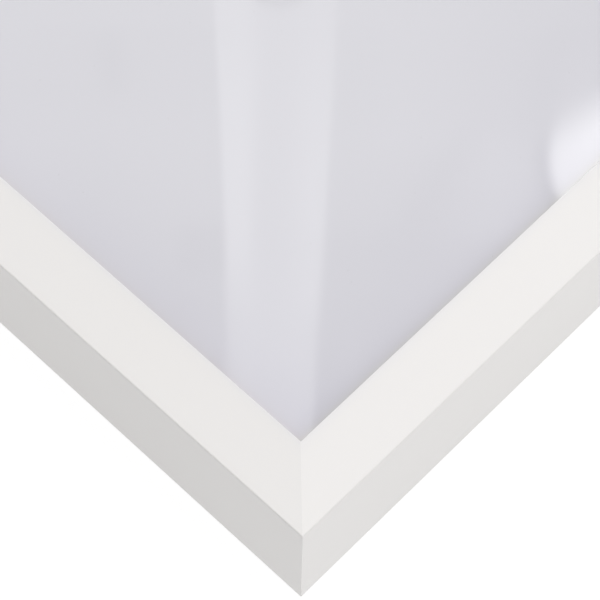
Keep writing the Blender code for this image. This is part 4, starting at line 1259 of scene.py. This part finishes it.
def far_window(azimuth, half, low, high, amount):
    """A window with a mullion; its place and size are in degrees."""
    off = abs((bearing - math.radians(azimuth)).math("WRAP", math.pi, -math.pi))
    inside = off.gate(math.radians(half + 0.5), math.radians(half))
    mullion = off.step(math.radians(0.25), math.radians(0.6), 0.35, 1.0)
    foot_edge = elevation.gate(math.radians(low), math.radians(low + 1.2))
    head_edge = elevation.gate(math.radians(high + 3.0), math.radians(high))
    return inside * mullion * (foot_edge * head_edge) * amount


def background(strength):
    inputs = {"Color": rgba((1.0, 1.0, 1.0)), "Strength": strength}
    return Value(add_node(world_tree, "ShaderNodeBackground", inputs).outputs[0])


def surroundings():
    overhead = lobe((0, 0, 1), tightness=3.0, amount=1.115)
    beyond = lobe(toward(azimuth=43, elevation=20), tightness=8.0, amount=2.5)
    room = overhead + beyond + 0.22
    in_mirror = abs(side).gate(0.8, 0.5) * rise.gate(0.9, 1.25) * rise.gate(2.7, 2.25)
    light = in_mirror.blend(room, mirrored_scene())
    # only glossy surfaces show a light horizon, and a window on two other sides
    glossy = (
        z.falloff(0.16, 2.0) * 0.42
        + far_window(azimuth=140, half=5.0, low=7.0, high=52.0, amount=1.15)
        + far_window(azimuth=-40, half=5.5, low=6.0, high=48.0, amount=0.75)
    )
    light = light + glossy * source(world_tree, "ShaderNodeLightPath", "Is Glossy Ray")
    # the camera itself sees plain white
    seen = source(world_tree, "ShaderNodeLightPath", "Is Camera Ray")
    inputs = {0: seen, 1: background(light), 2: background(1.0)}
    both = seen.node("ShaderNodeMixShader", inputs)
    add_node(world_tree, "ShaderNodeOutputWorld", {"Surface": both})
    world.cycles.sampling_method = "MANUAL"
    world.cycles.sample_map_resolution = 2048


surroundings()

# ------------------------------------------------------------------ light and camera

CORNER = Vector((LEFT, FRONT, TOP))  # the frame's front left corner, which the camera shows
KEY_OFFSET = Vector((0.62, -0.84, 0.56))
KEY_AIM = Vector((0.1, 0.05, 0))
CAMERA_OFFSET = Vector((-0.17167, -0.15695, 0.56254))
CAMERA_AHEAD = Vector((0.34843, 0.32413, -0.87951))
CAMERA_ROLL = 0.02072  # radians


def key_light():
    """From the front right, near enough to fall off along the bars."""
    data = bpy.data.lights.new("key", "AREA")
    data.shape = "SQUARE"
    data.size = 0.6
    key = add_object("key", data)
    key.location = CORNER + KEY_OFFSET
    aim = CORNER + KEY_AIM - key.location
    key.rotation_euler = aim.to_track_quat("-Z", "Y").to_euler()
    data.energy = 2.7
    key.visible_camera = False
    key.visible_glossy = False


def corner_camera():
    """The corner's close-up, 0.61 m away."""
    data = bpy.data.cameras.new("camera")
    data.sensor_width = 36.0
    data.lens = 136.6986
    data.clip_start = 0.01
    camera = add_object("camera", data)
    forward = CAMERA_AHEAD.normalized()
    level = forward.cross(Vector((0, 0, 1))).normalized()
    upward = level.cross(forward)
    cosine, sine = math.cos(CAMERA_ROLL), math.sin(CAMERA_ROLL)
    right = cosine * level + sine * upward
    upward = -sine * level + cosine * upward
    turned = Matrix((right, upward, -forward)).transposed()
    camera.matrix_world = Matrix.Translation(CORNER + CAMERA_OFFSET) @ turned.to_4x4()
    bpy.context.scene.camera = camera


key_light()
corner_camera()
bpy.context.scene.view_settings.view_transform = "Standard"
bpy.context.scene.view_settings.look = "None"
